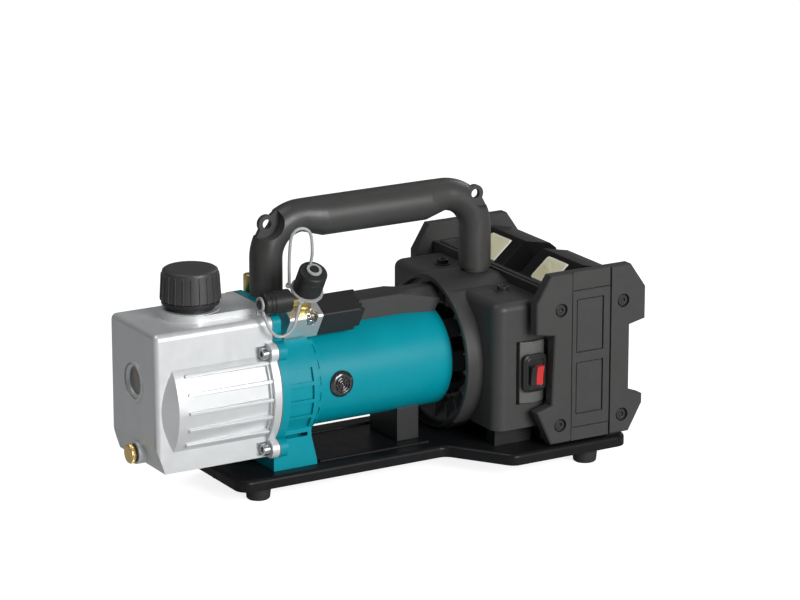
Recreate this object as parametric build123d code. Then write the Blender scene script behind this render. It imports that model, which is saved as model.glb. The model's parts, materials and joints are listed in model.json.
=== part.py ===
"""Portable battery vacuum pump for refrigeration work, built piece by piece.

Millimetres, +Z up, +X from the oil tank to the batteries, Y = 0 on the shaft's upright plane.
The origin is under the middle of the pump, on the surface that the rubber feet stand on.
"""
from build123d import *
from math import acos, atan2, cos, degrees, pi, radians, sin, sqrt, tan
import os

os.makedirs("parts", exist_ok=True)

# ---------------------------------------------------------------- overall places
front_x = -180.0            # front face of the oil tank
axis_z = 77.3               # height of the motor and pump shaft
fit_gap = 0.05              # radial clearance of a running fit
clear = 0.4                 # clearance between pieces that move apart
seat_gap = 0.2              # clearance of pieces that only drop into each other

# ---------------------------------------------------------------- feet and base tray
foot_radius = 9.5
foot_taper = 1.0
foot_height = 11.6
tray_height = 8.4
tray_floor = 3.0
tray_wall = 3.5
tray_start = 60.0           # all these lengths count from the tank's front face
tray_end = 355.5
tray_step_start = 226.0
tray_step_end = 257.0
tray_half_narrow = 45.2
tray_half_wide = 89.0
foot_front_x = 83.0
foot_rear_x = 327.5
foot_front_y = 27.0
foot_rear_y = 73.0
bead_height = 1.2
bead_width = 5.0

# ---------------------------------------------------------------- oil tank
tank_length = 85.5
flange_length = 5.5
tank_half_width = 35.5
tank_bottom_z = 32.6
tank_top_z = 133.0
tank_wall = 4.0
plateau_height = 5.0
plateau_half_width = 22.0
plateau_margin = 1.5
tank_nose_run = 6.0
tank_nose_rise = 18.4
tank_edge_radius = 5.0
bulge_radius = 46.2
bulge_nose_radius = 35.0
bulge_start = 3.5
bulge_slope = 9.0
flange_bulge_radius = 49.5
rib_pitch_deg = 16.0
pocket_count = 4
pocket_half_width = 5.1
rib_top_radius = 47.3
rib_half_width = 1.3
pocket_depth = 2.6
tank_screw_y = 38.5
tank_screw_high = 31.7      # above the shaft
tank_screw_low = 38.3       # below the shaft
tank_screw_radius = 2.5
tank_screw_head_radius = 4.3
tank_screw_head_length = 5.0
tank_screw_pocket = 8.0
lobe_radius = 6.8

# ---------------------------------------------------------------- filler, cap and glass
cap_x = 45.7
cap_radius = 21.7
cap_top_radius = 20.6
cap_height = 22.4
cap_top_thickness = 6.0
cap_rib_count = 22
neck_radius = 17.0
neck_stem_height = 3.8
neck_flange_radius = 20.6
neck_flange_height = 2.7
collar_radius = 20.4
collar_height = 0.4
neck_bore = 11.0
filter_length = 22.0
cap_seal_height = 1.6
glass_z = 92.0
glass_radius = 12.7
glass_thickness = 3.0
glass_depth = 3.0
glass_boss_radius = 16.7
glass_window_radius = 10.5
glass_rim_radius = 15.4
glass_rim_height = 0.6
drain_y = -6.0
drain_z = 41.7
drain_knob_radius = 7.0
drain_knob_length = 4.0
drain_shank_radius = 4.0
drain_shank_length = 12.0
drain_boss_radius = 8.0
drain_boss_length = 3.0
drain_seal_thickness = 1.0

# ---------------------------------------------------------------- pump module in the oil
pump_bore_radius = 22.0
pump_rotor_radius = 18.5
pump_outer_radius = 32.0
pump_length = 44.0
pump_plate_thickness = 6.0
pump_boss_length = 7.8
pump_bolt_circle = 27.0
pump_bolt_radius = 2.0
vane_thickness = 3.0
vane_depth = 10.0
end_play = 0.4
valve_length = 26.0
valve_width = 14.0
valve_plate = 1.0
valve_stop = 1.6

# ---------------------------------------------------------------- motor bracket
gasket_thickness = 0.8
plate_thickness = 6.2
ring_length = 24.0
ring_radius = 45.0
ring_wall = 6.0
bell_ring_length = 6.0
bell_ring_radius = 41.0
ring_pocket_count = 22
ring_pocket_depth = 2.0
bracket_foot_half = 34.5
foot_splay = 4.5
handle_boss_radius = 12.5
handle_boss_top = 139.5
seal_radius = 10.0
seal_length = 6.0
front_bearing_radius = 13.0
front_bearing_length = 10.0

# ---------------------------------------------------------------- motor
motor_radius = 37.7
motor_wall = 2.5
motor_length = 109.0
shaft_radius = 5.0
stator_length = 62.0
stator_bore = 22.5
rotor_gap = 0.6
winding_length = 10.0
bell_radius = 33.0
bell_wall = 2.6
bell_length = 25.0
rear_bearing_radius = 11.0
rear_bearing_length = 8.0
fan_radius = 29.4
fan_length = 8.0
fan_blades = 11
vent_radius = 9.6
vent_x = 144.8
vent_height = 2.2

# ---------------------------------------------------------------- intake group on its tilted seat
intake_tilt = 32.0          # degrees, leaning to the near side
block_start = 104.5
block_length = 26.5
block_near = -4.0           # across the tilt, from the shaft's radial plane
block_width = 20.0
block_seat = 43.5           # radial height of its seat over the shaft
block_height = 21.0
coil_length = 30.0
coil_tooth_length = 3.5
tee_x = 117.0
tee_radius = 6.0
tee_branch_height = 10.0    # over the block
tee_stem_height = 17.0
large_stub_radius = 7.6
large_cap_radius = 10.3
large_cap_height = 18.0
small_neck_radius = 4.6
small_stub_radius = 5.4
small_cap_radius = 8.2
small_cap_length = 21.4
cap_wall = 2.2
tether_ring_radius = 11.8
tether_ring_height = 1.5
strap_radius = 1.1
boss_radius = 3.0
boss_length = 2.6
eye_ring_radius = 5.4
tab_reach = 13.2
tab_angles = (150.0, 225.0)  # where the long and the short strap leave the ring
plunger_radius = 4.0
plunger_length = 16.0
plunger_stroke = 2.5
ballast_x = 108.0
ballast_y = 29.5
ballast_radius = 4.6
ballast_height = 13.5
ballast_z = 133.5

# ---------------------------------------------------------------- carrying handle
handle_radius = 11.8
handle_front_x = 105.4
handle_rear_x = 277.3
handle_top_z = 205.3
handle_bend = 28.0
grip_radius = 14.2
grip_taper = 16.0
handle_bore = 4.0
eye_radius = 6.5
eye_hole = 3.4
eye_thickness = 3.6
eye_reach = 37.4            # from the middle of the corner bend
eye_angle = 42.5
scoop_radius = 13.0
scoop_reach = 42.4
collar_ring_radius = 10.0
collar_ring_height = 3.4

# ---------------------------------------------------------------- rear housing
cowl_start = 237.5
cowl_radius = 57.3
cowl_wall = 3.2
cowl_depth = 24.5
housing_start = 250.0
housing_end = 290.0
housing_half = 75.0
housing_bottom = 34.0
housing_top = 128.0
housing_wall = 3.0
housing_corner = 9.0
hump_pad_z = 133.4
inlet_fins = 18
inlet_fin_thickness = 1.0
dish_front = 5.5            # from the cowl's front rim to the dish's outer edge
dish_depth = 10.5
dish_wall = 1.6
dish_inner = 37.5
cover_start = 165.5
cover_mid = 208.0
cover_end = 242.5
cover_half = 12.0
cover_rise = 13.3
cover_rear_half = 16.5
cover_rear_rise = 5.6
cover_spine = 5.0           # half width of the spine that stays high to the rear

# ---------------------------------------------------------------- switch
switch_x = 279.6
switch_z = 75.6
switch_plate_length = 20.4
switch_plate_height = 45.6
switch_plate_ridge = 3.2
recess_depth = 6.0
bezel_length = 19.6
bezel_height = 28.0
bezel_depth = 3.6
rocker_length = 10.6
rocker_height = 16.6
rocker_swing = 14.0

# ---------------------------------------------------------------- batteries, cradle and guards
cradle_plate = 8.0
cradle_wall = 2.6
cradle_floor = 4.0
cradle_end = 354.0
cradle_top = 134.6
battery_width = 74.4
battery_start = 300.0
battery_end = 355.5
battery_bottom = 41.0
battery_top = 145.0
battery_rear_top = 140.0
shoulder_width = 10.5
shoulder_drop = 11.0
shoulder_draw = 2.5
rail_width = 46.0
rail_depth = 5.0
rail_height = 62.0
rail_lip = 3.0
button_width = 27.5
button_travel = 3.0
button_thickness = 4.5
terminal_height = 22.0
guard_outer = 89.0
guard_thickness = 8.6
guard_left = 275.2
guard_right = 354.8
guard_ear = 367.7
guard_top = 148.2
guard_bottom = 22.4
groove_width = 0.9
groove_depth = 2.2
guard_screw_radius = 1.9
guard_screw_head = 3.9
screw_x = (295.8, 348.5)
screw_z = (35.9, 121.7)

# ---------------------------------------------------------------- derived places
tray_z = foot_height
tray_top = foot_height + tray_height
x_flange = front_x + tank_length
x_joint = x_flange + flange_length
x_plate = x_joint + gasket_thickness
x_ring = x_plate + plate_thickness
x_bell_ring = x_ring + ring_length
x_motor = x_bell_ring + bell_ring_length
x_motor_end = x_motor + motor_length
x_bell_end = x_motor_end + bell_length
plateau_z = tank_top_z + plateau_height
collar_z = plateau_z + collar_height
neck_z = collar_z + neck_stem_height + neck_flange_height
cap_z = neck_z + clear
cap_top = cap_z + cap_height
eccentric = pump_bore_radius - pump_rotor_radius - 0.3
bore_z = axis_z - eccentric
handle_line_z = handle_top_z - handle_radius


# ---------------------------------------------------------------- small helpers
def box(x0, x1, y0, y1, z0, z1):
    """Block between two corners."""
    return Pos((x0 + x1) / 2, (y0 + y1) / 2, (z0 + z1) / 2) * Box(x1 - x0, y1 - y0, z1 - z0)


def rod_x(x0, x1, radius, y=0.0, z=axis_z):
    """Round bar along X."""
    return Pos((x0 + x1) / 2, y, z) * Rot(0, 90, 0) * Cylinder(radius, x1 - x0)


def cone_x(x0, x1, r0, r1, y=0.0, z=axis_z):
    """Cone along X with radius r0 at x0 and r1 at x1."""
    return Pos((x0 + x1) / 2, y, z) * Rot(0, 90, 0) * Cone(r0, r1, x1 - x0)


def rod_y(y0, y1, radius, x, z):
    """Round bar along Y."""
    return Pos(x, (y0 + y1) / 2, z) * Rot(90, 0, 0) * Cylinder(radius, y1 - y0)


def rod_z(z0, z1, radius, x, y=0.0):
    """Round bar along Z."""
    return Pos(x, y, (z0 + z1) / 2) * Cylinder(radius, z1 - z0)


def prism_x(points, x0, x1):
    """Closed outline of (y, z) points drawn out along X."""
    plane = Plane(origin=(x0, 0, 0), x_dir=(0, 1, 0), z_dir=(1, 0, 0))
    return extrude(plane * make_face(Polyline(*points, close=True)), x1 - x0)


def prism_y(points, y0, y1):
    """Closed outline of (x, z) points drawn out along Y."""
    plane = Plane(origin=(0, y1, 0), x_dir=(1, 0, 0), z_dir=(0, -1, 0))
    return extrude(plane * make_face(Polyline(*points, close=True)), y1 - y0)


def prism_z(points, z0, z1):
    """Closed outline of (x, y) points drawn out along Z."""
    return Pos(0, 0, z0) * extrude(make_face(Polyline(*points, close=True)), z1 - z0)


def about_axis(shape, angle):
    """The shape turned about the shaft line by an angle in degrees."""
    return Pos(0, 0, axis_z) * Rot(angle, 0, 0) * Pos(0, 0, -axis_z) * shape


def on_tilt(shape):
    """A shape drawn with Z = radial height over the shaft, moved to the intake's tilted seat."""
    return Pos(0, 0, axis_z) * Rot(intake_tilt, 0, 0) * shape


def mirrored(shape):
    """The shape on the other side of the shaft's upright plane."""
    return mirror(shape, about=Plane.XZ)


def hex_bar(x0, x1, across, y, z):
    """Hexagonal bar along X."""
    plane = Plane(origin=(x0, y, z), x_dir=(0, 1, 0), z_dir=(1, 0, 0))
    return extrude(plane * RegularPolygon(across / 2, 6, major_radius=False), x1 - x0)


def save(name, *solids):
    """Write one node; several solids in it stay separate."""
    shapes = [piece for solid in solids for piece in solid.solids()]
    shape = shapes[0] if len(shapes) == 1 else Compound(children=shapes)
    shape.label = name
    export_step(shape, f"parts/{name}.step")


def edges_along(shape, axis):
    return shape.edges().filter_by(axis)


# ---------------------------------------------------------------- oil tank
screw_spots = [(side * tank_screw_y, axis_z + up)
               for side in (-1, 1) for up in (tank_screw_high, -tank_screw_low)]


def flange_outline(x0, x1):
    """Joint face shared by tank, gasket and bracket: box, round belly and four screw lobes."""
    half = tank_half_width
    shape = box(x0, x1, -half, half, tank_bottom_z, tank_top_z)
    shape = fillet(edges_along(shape, Axis.X).group_by(Axis.Z)[-1], tank_edge_radius)
    top_half = plateau_half_width + plateau_margin
    shape += box(x0, x1, -top_half, top_half, tank_top_z - 5, plateau_z)
    shape += rod_x(x0, x1, flange_bulge_radius)
    for y, z in screw_spots:
        shape += rod_x(x0, x1, lobe_radius, y, z)
        shape += box(x0, x1, min(0, y), max(0, y), z - lobe_radius, z + lobe_radius)
    return shape & box(x0, x1, -80, 80, tank_bottom_z, plateau_z)


def tank_shell():
    """Outer casting: box with sloped nose, raised top and round bellies on both sides."""
    end = x_flange + 1
    body = box(front_x, end, -tank_half_width, tank_half_width, tank_bottom_z, tank_top_z)
    body = fillet(edges_along(body, Axis.X).group_by(Axis.Z)[-1], tank_edge_radius)
    body = fillet(body.edges().group_by(Axis.X)[0], tank_edge_radius - 1)
    nose = [(front_x - 1, tank_bottom_z - 1), (front_x + tank_nose_run, tank_bottom_z - 1),
            (front_x + tank_nose_run, tank_bottom_z), (front_x, tank_bottom_z + tank_nose_rise),
            (front_x - 1, tank_bottom_z + tank_nose_rise)]
    belly = cone_x(front_x + bulge_start, front_x + bulge_start + bulge_slope,
                   bulge_nose_radius, bulge_radius)
    belly += rod_x(front_x + bulge_start + bulge_slope, end, bulge_radius)
    body += belly & box(front_x, end, -80, 80, tank_bottom_z, tank_top_z - 8)
    body -= prism_y(nose, -80, 80)
    plateau = box(front_x + cap_x, end, -plateau_half_width, plateau_half_width,
                  tank_top_z - 4, plateau_z)
    plateau += rod_z(tank_top_z - 4, plateau_z, plateau_half_width, front_x + cap_x)
    body += plateau
    body += rod_z(plateau_z - 1, collar_z, collar_radius, front_x + cap_x)
    return body


def rib_pockets():
    """Tapered pockets between the ribs of the bellies, deeper towards the flange."""
    start, stop = front_x + bulge_start + bulge_slope + 5, x_flange - 1.5
    wedge = [(start, axis_z + bulge_radius), (stop, axis_z + bulge_radius - pocket_depth),
             (stop, axis_z + bulge_radius + 4), (start, axis_z + bulge_radius + 4)]
    cuts = []
    for index in range(pocket_count):
        lean = (index - (pocket_count - 1) / 2) * rib_pitch_deg
        for side in (90, -90):
            pocket = prism_y(wedge, -pocket_half_width, pocket_half_width)
            cuts.append(about_axis(pocket, side + lean))
    return cuts


def belly_ribs():
    """Thin ribs with ramped tips that run back along the bellies to the flange."""
    start = front_x + bulge_start + bulge_slope + 4
    top, root = axis_z + rib_top_radius, axis_z + bulge_radius - 2
    ramp = [(start, root), (start + 6, top), (x_flange + 1, top), (x_flange + 1, root)]
    for index in range(pocket_count + 1):
        lean = (index - pocket_count / 2) * rib_pitch_deg
        for side in (90, -90):
            yield about_axis(prism_y(ramp, -rib_half_width, rib_half_width), side + lean)


def oil_tank():
    body = tank_shell() + flange_outline(x_flange, x_joint)
    inner_end = x_joint + 1
    room = box(front_x + tank_wall, inner_end, tank_wall - tank_half_width,
               tank_half_width - tank_wall, tank_bottom_z + tank_wall, tank_top_z - tank_wall)
    inner = bulge_radius - tank_wall
    room += rod_x(front_x + bulge_start + bulge_slope + 1, inner_end, inner) & box(
        front_x, inner_end, -80, 80, tank_bottom_z + tank_wall, tank_top_z - tank_wall)
    nose_block = [(front_x, tank_bottom_z), (front_x + tank_nose_run + tank_wall, tank_bottom_z),
                  (front_x + tank_nose_run + tank_wall, tank_bottom_z + tank_wall),
                  (front_x + tank_wall, tank_bottom_z + tank_nose_rise + tank_wall),
                  (front_x, tank_bottom_z + tank_nose_rise + tank_wall)]
    body -= room - prism_y(nose_block, -80, 80)
    for cut in rib_pockets():
        body -= cut
    for rib in belly_ribs():
        body += rib
    glass_y = 0.0
    body += rod_x(front_x + 1, front_x + glass_depth + glass_thickness + 3.4, glass_boss_radius,
                  glass_y, glass_z)
    body += rod_x(front_x - glass_rim_height, front_x + 1, glass_rim_radius, glass_y, glass_z)
    body -= rod_x(front_x - 1, front_x + glass_depth + glass_thickness + 1.4,
                  glass_radius + seat_gap, glass_y, glass_z)
    body -= rod_x(front_x, front_x + 20, glass_window_radius, glass_y, glass_z)
    body += rod_x(front_x - drain_boss_length, front_x + tank_wall + 4, drain_boss_radius,
                  drain_y, drain_z)
    body -= rod_x(front_x - 20, front_x + 30, drain_shank_radius + fit_gap, drain_y, drain_z)
    body -= rod_z(tank_top_z - 20, collar_z + 5, neck_radius - 1 + seat_gap, front_x + cap_x)
    for y, z in screw_spots:
        body -= rod_x(x_flange - tank_screw_pocket, x_flange, tank_screw_head_radius + 1.2, y, z)
        body -= rod_x(x_flange - 1, x_joint + 1, tank_screw_radius, y, z)
    return body


def tank_gasket():
    ring = flange_outline(x_joint, x_plate)
    ring -= box(x_joint - 1, x_plate + 1, tank_wall - tank_half_width,
                tank_half_width - tank_wall, tank_bottom_z + tank_wall, tank_top_z - tank_wall)
    ring -= rod_x(x_joint - 1, x_plate + 1, bulge_radius - tank_wall)
    for y, z in screw_spots:
        ring -= rod_x(x_joint - 1, x_plate + 1, tank_screw_radius, y, z)
    return ring


def socket_screw_x(head_x, length, radius, head_radius, head_length, y, z):
    """Hex-socket screw along X, head towards the tank."""
    screw = rod_x(head_x - head_length, head_x, head_radius, y, z)
    screw += rod_x(head_x, head_x + length, radius, y, z)
    socket = hex_bar(head_x - head_length - 1, head_x - head_length * 0.4, head_radius, y, z)
    return screw - socket


def tank_screws():
    length = flange_length + gasket_thickness + plate_thickness
    return [socket_screw_x(x_flange, length, tank_screw_radius, tank_screw_head_radius,
                           tank_screw_head_length, y, z) for y, z in screw_spots]


def oil_cap():
    """Ribbed screw cap, hollow over the filler neck."""
    x = front_x + cap_x
    place = Pos(x, 0, (cap_z + cap_top) / 2)
    cap = place * Cone(cap_radius - 0.8, cap_top_radius - 0.8, cap_height)
    cap = fillet(cap.edges().group_by(Axis.Z)[-1], 2.2)
    for index in range(cap_rib_count):
        rib = Pos(cap_radius - 1.3, 0, cap_z + cap_height * 0.43)
        rib *= Box(2.6, 3.6, cap_height * 0.86)
        cap += Pos(x, 0, 0) * Rot(0, 0, 360 * index / cap_rib_count) * rib
    cap &= place * Cone(cap_radius, cap_top_radius, cap_height)
    cap -= rod_z(cap_z - 1, cap_top - cap_top_thickness, neck_radius + clear, x)
    return cap


def exhaust_filter():
    """Threaded neck with its mist filter hanging into the tank."""
    x = front_x + cap_x
    neck = rod_z(collar_z - filter_length, collar_z, neck_radius - 1, x)
    neck += rod_z(collar_z, neck_z, neck_radius, x)
    neck += rod_z(neck_z - neck_flange_height, neck_z, neck_flange_radius, x)
    neck += rod_z(neck_z, cap_top - cap_top_thickness - cap_seal_height - clear, neck_radius, x)
    return neck - rod_z(collar_z - filter_length + 2, cap_top, neck_bore, x)


def cap_seal():
    x = front_x + cap_x
    high = cap_top - cap_top_thickness - clear
    return rod_z(high - cap_seal_height, high, neck_radius - 0.5, x) - rod_z(
        high - 5, high + 5, neck_bore + 0.5, x)


def sight_glass():
    x = front_x + glass_depth
    return rod_x(x, x + glass_thickness, glass_radius, 0, glass_z)


def sight_seal():
    x = front_x + glass_depth + glass_thickness
    ring = rod_x(x, x + 1.4, glass_radius, 0, glass_z)
    return ring - rod_x(x - 1, x + 4, glass_window_radius, 0, glass_z)


def drain_plug():
    """Knurled brass knob on a threaded shank."""
    back = front_x - drain_boss_length - drain_seal_thickness - clear / 2
    knob = rod_x(back - drain_knob_length, back, drain_knob_radius, drain_y, drain_z)
    knob = chamfer(knob.edges().filter_by(GeomType.CIRCLE), 0.5)
    return knob + rod_x(back, back + drain_shank_length, drain_shank_radius, drain_y, drain_z)


def drain_seal():
    x1 = front_x - drain_boss_length
    ring = rod_x(x1 - drain_seal_thickness, x1, drain_shank_radius + 2.4, drain_y, drain_z)
    return ring - rod_x(x1 - 5, x1 + 5, drain_shank_radius + clear, drain_y, drain_z)


def oil_seals():
    """Rubber rings of the filler cap, the sight glass and the drain plug."""
    return [cap_seal(), sight_seal(), drain_seal()]


# ---------------------------------------------------------------- pump module
x_pump_boss = x_plate - pump_boss_length
x_pump = x_pump_boss - pump_length
bolt_angles = (45, 135, 225, 315)


def pump_bolt_spots():
    for angle in bolt_angles:
        turn = radians(angle)
        yield pump_bolt_circle * cos(turn), bore_z + pump_bolt_circle * sin(turn)


def pump_cylinder():
    """Cast cylinder with its bore set below the shaft line and a flat seat for the valve."""
    block = rod_x(x_pump, x_pump_boss, pump_outer_radius, 0, bore_z)
    seat = bore_z + pump_outer_radius - 2
    block -= box(x_pump - 1, x_pump_boss + 1, -40, 40, seat, seat + 20)
    block -= rod_x(x_pump - 1, x_pump_boss + 1, pump_bore_radius, 0, bore_z)
    port_x = (x_pump + x_pump_boss) / 2
    block -= rod_z(bore_z, seat + 5, 2.5, port_x - 7, 4)
    for y, z in pump_bolt_spots():
        block -= rod_x(x_pump - 1, x_pump_boss + 1, pump_bolt_radius, y, z)
    return block


def pump_front_plate():
    plate = rod_x(x_pump - pump_plate_thickness, x_pump, pump_outer_radius - 2, 0, bore_z)
    plate -= rod_x(x_pump - pump_plate_thickness + 2, x_pump + 1, shaft_radius + fit_gap)
    for y, z in pump_bolt_spots():
        plate -= rod_x(x_pump - 20, x_pump + 1, pump_bolt_radius, y, z)
    return plate


def pump_bolts():
    head = x_pump - pump_plate_thickness
    return [socket_screw_x(head, pump_plate_thickness + pump_length + 5, pump_bolt_radius,
                           3.5, 4.0, y, z) for y, z in pump_bolt_spots()]


def vane_slots(thickness, depth, start, stop):
    """Two opposed radial slots in the rotor, filled from its rim inwards."""
    slots = []
    for side in (-1, 1):
        near, far = pump_rotor_radius - depth, pump_rotor_radius + 2
        slots.append(box(start, stop, min(side * near, side * far), max(side * near, side * far),
                         axis_z - thickness / 2, axis_z + thickness / 2))
    return slots


def pump_rotor():
    start, stop = x_pump + end_play, x_pump_boss - end_play
    rotor = rod_x(start, stop, pump_rotor_radius)
    rotor -= rod_x(start - 1, stop + 1, shaft_radius)
    for slot in vane_slots(vane_thickness, vane_depth, start - 1, stop + 1):
        rotor -= slot
    return rotor


def pump_vanes():
    start, stop = x_pump + end_play, x_pump_boss - end_play
    shell = rod_x(start, stop, pump_rotor_radius)
    return [vane & shell for vane in vane_slots(vane_thickness, vane_depth - 1, start, stop)]


def exhaust_valve():
    """Reed under a curved stop, held by two screws on the cylinder's flat."""
    seat = bore_z + pump_outer_radius - 2
    middle = (x_pump + x_pump_boss) / 2
    x0, x1 = middle - valve_length / 2, middle + valve_length / 2
    reed = box(x0, x1, -valve_width / 2, valve_width / 2, seat, seat + valve_plate)
    lift = seat + valve_plate
    stop = prism_y([(x0, lift), (x0 + 18, lift), (x1, lift + 1.6), (x1, lift + 1.6 + valve_stop),
                    (x0 + 18, lift + valve_stop), (x0, lift + valve_stop)],
                   -valve_width / 2, valve_width / 2)
    heads = [rod_z(lift + valve_stop, lift + valve_stop + 2, 2.4, x0 + 4, side * 3.6)
             for side in (-1, 1)]
    return reed + stop + heads[0] + heads[1]


# ---------------------------------------------------------------- motor bracket
seat_centre = block_near + block_width / 2


def ring_pockets():
    """Shallow pockets between the ribs round the coupling ring."""
    x0, x1 = x_ring + 2.5, x_bell_ring - 3.0
    half_width = pi * ring_radius / ring_pocket_count * 0.78
    for index in range(ring_pocket_count):
        angle = 360 * (index + 0.5) / ring_pocket_count
        if abs(((angle - intake_tilt + 180) % 360) - 180) < 30 or 145 < angle < 215:
            continue
        pocket = box(x0, x1, -half_width, half_width, axis_z + ring_radius - ring_pocket_depth,
                     axis_z + ring_radius + 4)
        yield about_axis(pocket, angle)


def bell_ring_windows():
    """Small windows round the narrow ring that carries the motor."""
    for index in range(ring_pocket_count):
        window = box(x_bell_ring + 1.5, x_motor - 1.2, -3.2, 3.2,
                     axis_z + bell_ring_radius - 0.7, axis_z + bell_ring_radius + 2)
        yield about_axis(window, 360 * index / ring_pocket_count)


def bracket_body():
    body = flange_outline(x_plate, x_ring)
    body += rod_x(x_ring, x_bell_ring, ring_radius)
    body += rod_x(x_bell_ring, x_motor, bell_ring_radius)
    foot = box(x_plate, x_bell_ring, -bracket_foot_half, bracket_foot_half, tray_top, axis_z - 28)
    arch = rod_x(x_ring, x_bell_ring + 1, ring_radius - 3) & box(
        x_ring, x_bell_ring + 1, -80, 80, 0, axis_z)
    body += foot - box(x_ring + 3, x_bell_ring + 1, -bracket_foot_half + 9,
                       bracket_foot_half - 9, tray_top - 1, axis_z - ring_radius + 1) - arch
    slope = [(x_bell_ring - 1, tray_top), (x_bell_ring + foot_splay, tray_top),
             (x_bell_ring + foot_splay, tray_top + 2.6), (x_bell_ring - 1, axis_z - 31)]
    for y in (-bracket_foot_half, bracket_foot_half - 9):
        body += prism_y(slope, y, y + 9)
    body += rod_z(axis_z + ring_radius - 6, handle_boss_top, handle_boss_radius,
                  front_x + handle_front_x)
    half = block_width / 2
    centre = front_x + block_start + block_length / 2
    pad = Pos(centre, seat_centre, block_seat / 2 + 16)
    pad *= Box(block_length - 3, block_width, block_seat - 32)
    lowest = ring_radius - 6
    body += on_tilt(pad) & on_tilt(box(x_ring, x_bell_ring, seat_centre - half,
                                       seat_centre + half, lowest, block_seat))
    body += rod_z(axis_z + 25, ballast_z - seat_gap, ballast_radius - 0.5,
                  front_x + ballast_x, ballast_y)
    return body


def motor_bracket():
    """Teal casting between tank and motor: plate, coupling ring, foot and seats."""
    body = bracket_body()
    body -= on_tilt(box(front_x + block_start - 1, x_motor + 1, block_near - 1,
                        block_near + block_width + 1, block_seat, block_seat + 30))
    for pocket in ring_pockets():
        body -= pocket
    for window in bell_ring_windows():
        body -= window
    body += rod_x(x_pump_boss, x_plate, pump_outer_radius - 2, 0, bore_z)
    hollow_start = x_ring + front_bearing_length + 3
    body -= rod_x(hollow_start, x_motor + 1, ring_radius - ring_wall)
    body -= rod_x(x_bell_ring + 2, x_motor + 1, motor_radius)
    bearing_start = x_ring + 2
    body -= rod_x(bearing_start, hollow_start + 1, front_bearing_radius)
    body -= rod_x(x_pump_boss - 1, bearing_start + 1, shaft_radius + clear)
    body -= rod_x(x_plate - 5, x_plate - 5 + seal_length, seal_radius)
    body -= rod_z(handle_boss_top - 10, handle_boss_top + 1, handle_bore,
                  front_x + handle_front_x)
    for y, z in pump_bolt_spots():
        body -= rod_x(x_pump_boss - 1, x_pump_boss + 5.2, pump_bolt_radius, y, z)
    for y, z in screw_spots:
        body -= rod_x(x_plate - 1, x_ring, tank_screw_radius, y, z)
    return body


def shaft_seal():
    start = x_plate - 5
    return rod_x(start, start + seal_length, seal_radius) - rod_x(
        start - 1, start + seal_length + 1, shaft_radius + fit_gap)


def bearing(start, length, outer):
    """Ball bearing drawn as one ring with its face grooves."""
    ring = rod_x(start, start + length, outer)
    ring -= rod_x(start - 1, start + length + 1, shaft_radius + fit_gap)
    middle = (outer + shaft_radius) / 2
    groove = rod_x(start - 1, start + 0.6, middle + 1.6) - rod_x(start - 1, start + 1, middle - 1.6)
    return ring - groove


# ---------------------------------------------------------------- motor
def motor_housing():
    """Drawn teal tube with a rounded rear rim."""
    tube = rod_x(x_bell_ring + 2, x_motor_end, motor_radius)
    tube = fillet(tube.edges().group_by(Axis.X)[-1], 1.8)
    tube -= rod_x(x_bell_ring, x_motor_end + 1, motor_radius - motor_wall)
    return tube


def vent_cap():
    """Round slotted cap on the near side of the motor."""
    x, z = front_x + vent_x, axis_z
    disc = rod_y(-motor_radius - vent_height, -motor_radius + 3, vent_radius, x, z)
    disc = fillet(disc.edges().group_by(Axis.Y)[0], 0.7)
    disc -= rod_x(x - 20, x + 20, motor_radius + 0.02)
    face = -motor_radius - vent_height
    for radius in (3.4, 6.4):
        groove = rod_y(face - 1, face + 1, radius + 0.5, x, z)
        groove -= rod_y(face - 2, face + 2, radius - 0.5, x, z)
        spokes = box(x - 0.7, x + 0.7, face - 2, face + 2, z - 10, z + 10)
        spokes += box(x - 10, x + 10, face - 2, face + 2, z - 0.7, z + 0.7)
        disc -= groove - spokes
    return disc


stator_start = x_motor + (motor_length - stator_length) / 2 - 6


def motor_stator():
    """Laminated steel ring with winding slots."""
    core = rod_x(stator_start, stator_start + stator_length, motor_radius - motor_wall)
    core -= rod_x(stator_start - 1, stator_start + stator_length + 1, stator_bore)
    for index in range(12):
        slot = box(stator_start - 1, stator_start + stator_length + 1, -2.5, 2.5,
                   axis_z + stator_bore - 1, axis_z + stator_bore + 7)
        core -= about_axis(slot, 30 * index + 15)
    return core


def stator_windings():
    """Copper end turns at both ends, joined through the slots."""
    rings = []
    inner, outer = stator_bore + 0.5, stator_bore + 9
    for start in (stator_start - winding_length, stator_start + stator_length):
        ring = rod_x(start, start + winding_length, outer)
        ring = fillet(ring.edges().filter_by(GeomType.CIRCLE), 2)
        rings.append(ring - rod_x(start - 1, start + winding_length + 1, inner))
    coil = rings[0] + rings[1]
    for index in range(12):
        bar = box(stator_start - 1, stator_start + stator_length + 1, -2.2, 2.2,
                  axis_z + stator_bore + 1, axis_z + stator_bore + 6.7)
        coil += about_axis(bar, 30 * index + 15)
    return coil


def motor_rotor():
    core = rod_x(stator_start, stator_start + stator_length, stator_bore - rotor_gap)
    return core - rod_x(stator_start - 1, stator_start + stator_length + 1, shaft_radius)


fan_start = x_motor_end + 4
rear_bearing_start = x_bell_end - rear_bearing_length - 2


def motor_shaft():
    return rod_x(x_pump - pump_plate_thickness + 3, rear_bearing_start + rear_bearing_length,
                 shaft_radius)


def cooling_fan():
    fan = rod_x(fan_start, fan_start + fan_length, 9)
    fan += rod_x(fan_start, fan_start + 1.6, fan_radius)
    for index in range(fan_blades):
        blade = box(fan_start + 1, fan_start + fan_length, -0.8, 0.8, axis_z + 8,
                    axis_z + fan_radius - 0.4)
        fan += about_axis(blade, 360 * index / fan_blades)
    return fan - rod_x(fan_start - 1, fan_start + fan_length + 1, shaft_radius)


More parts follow.
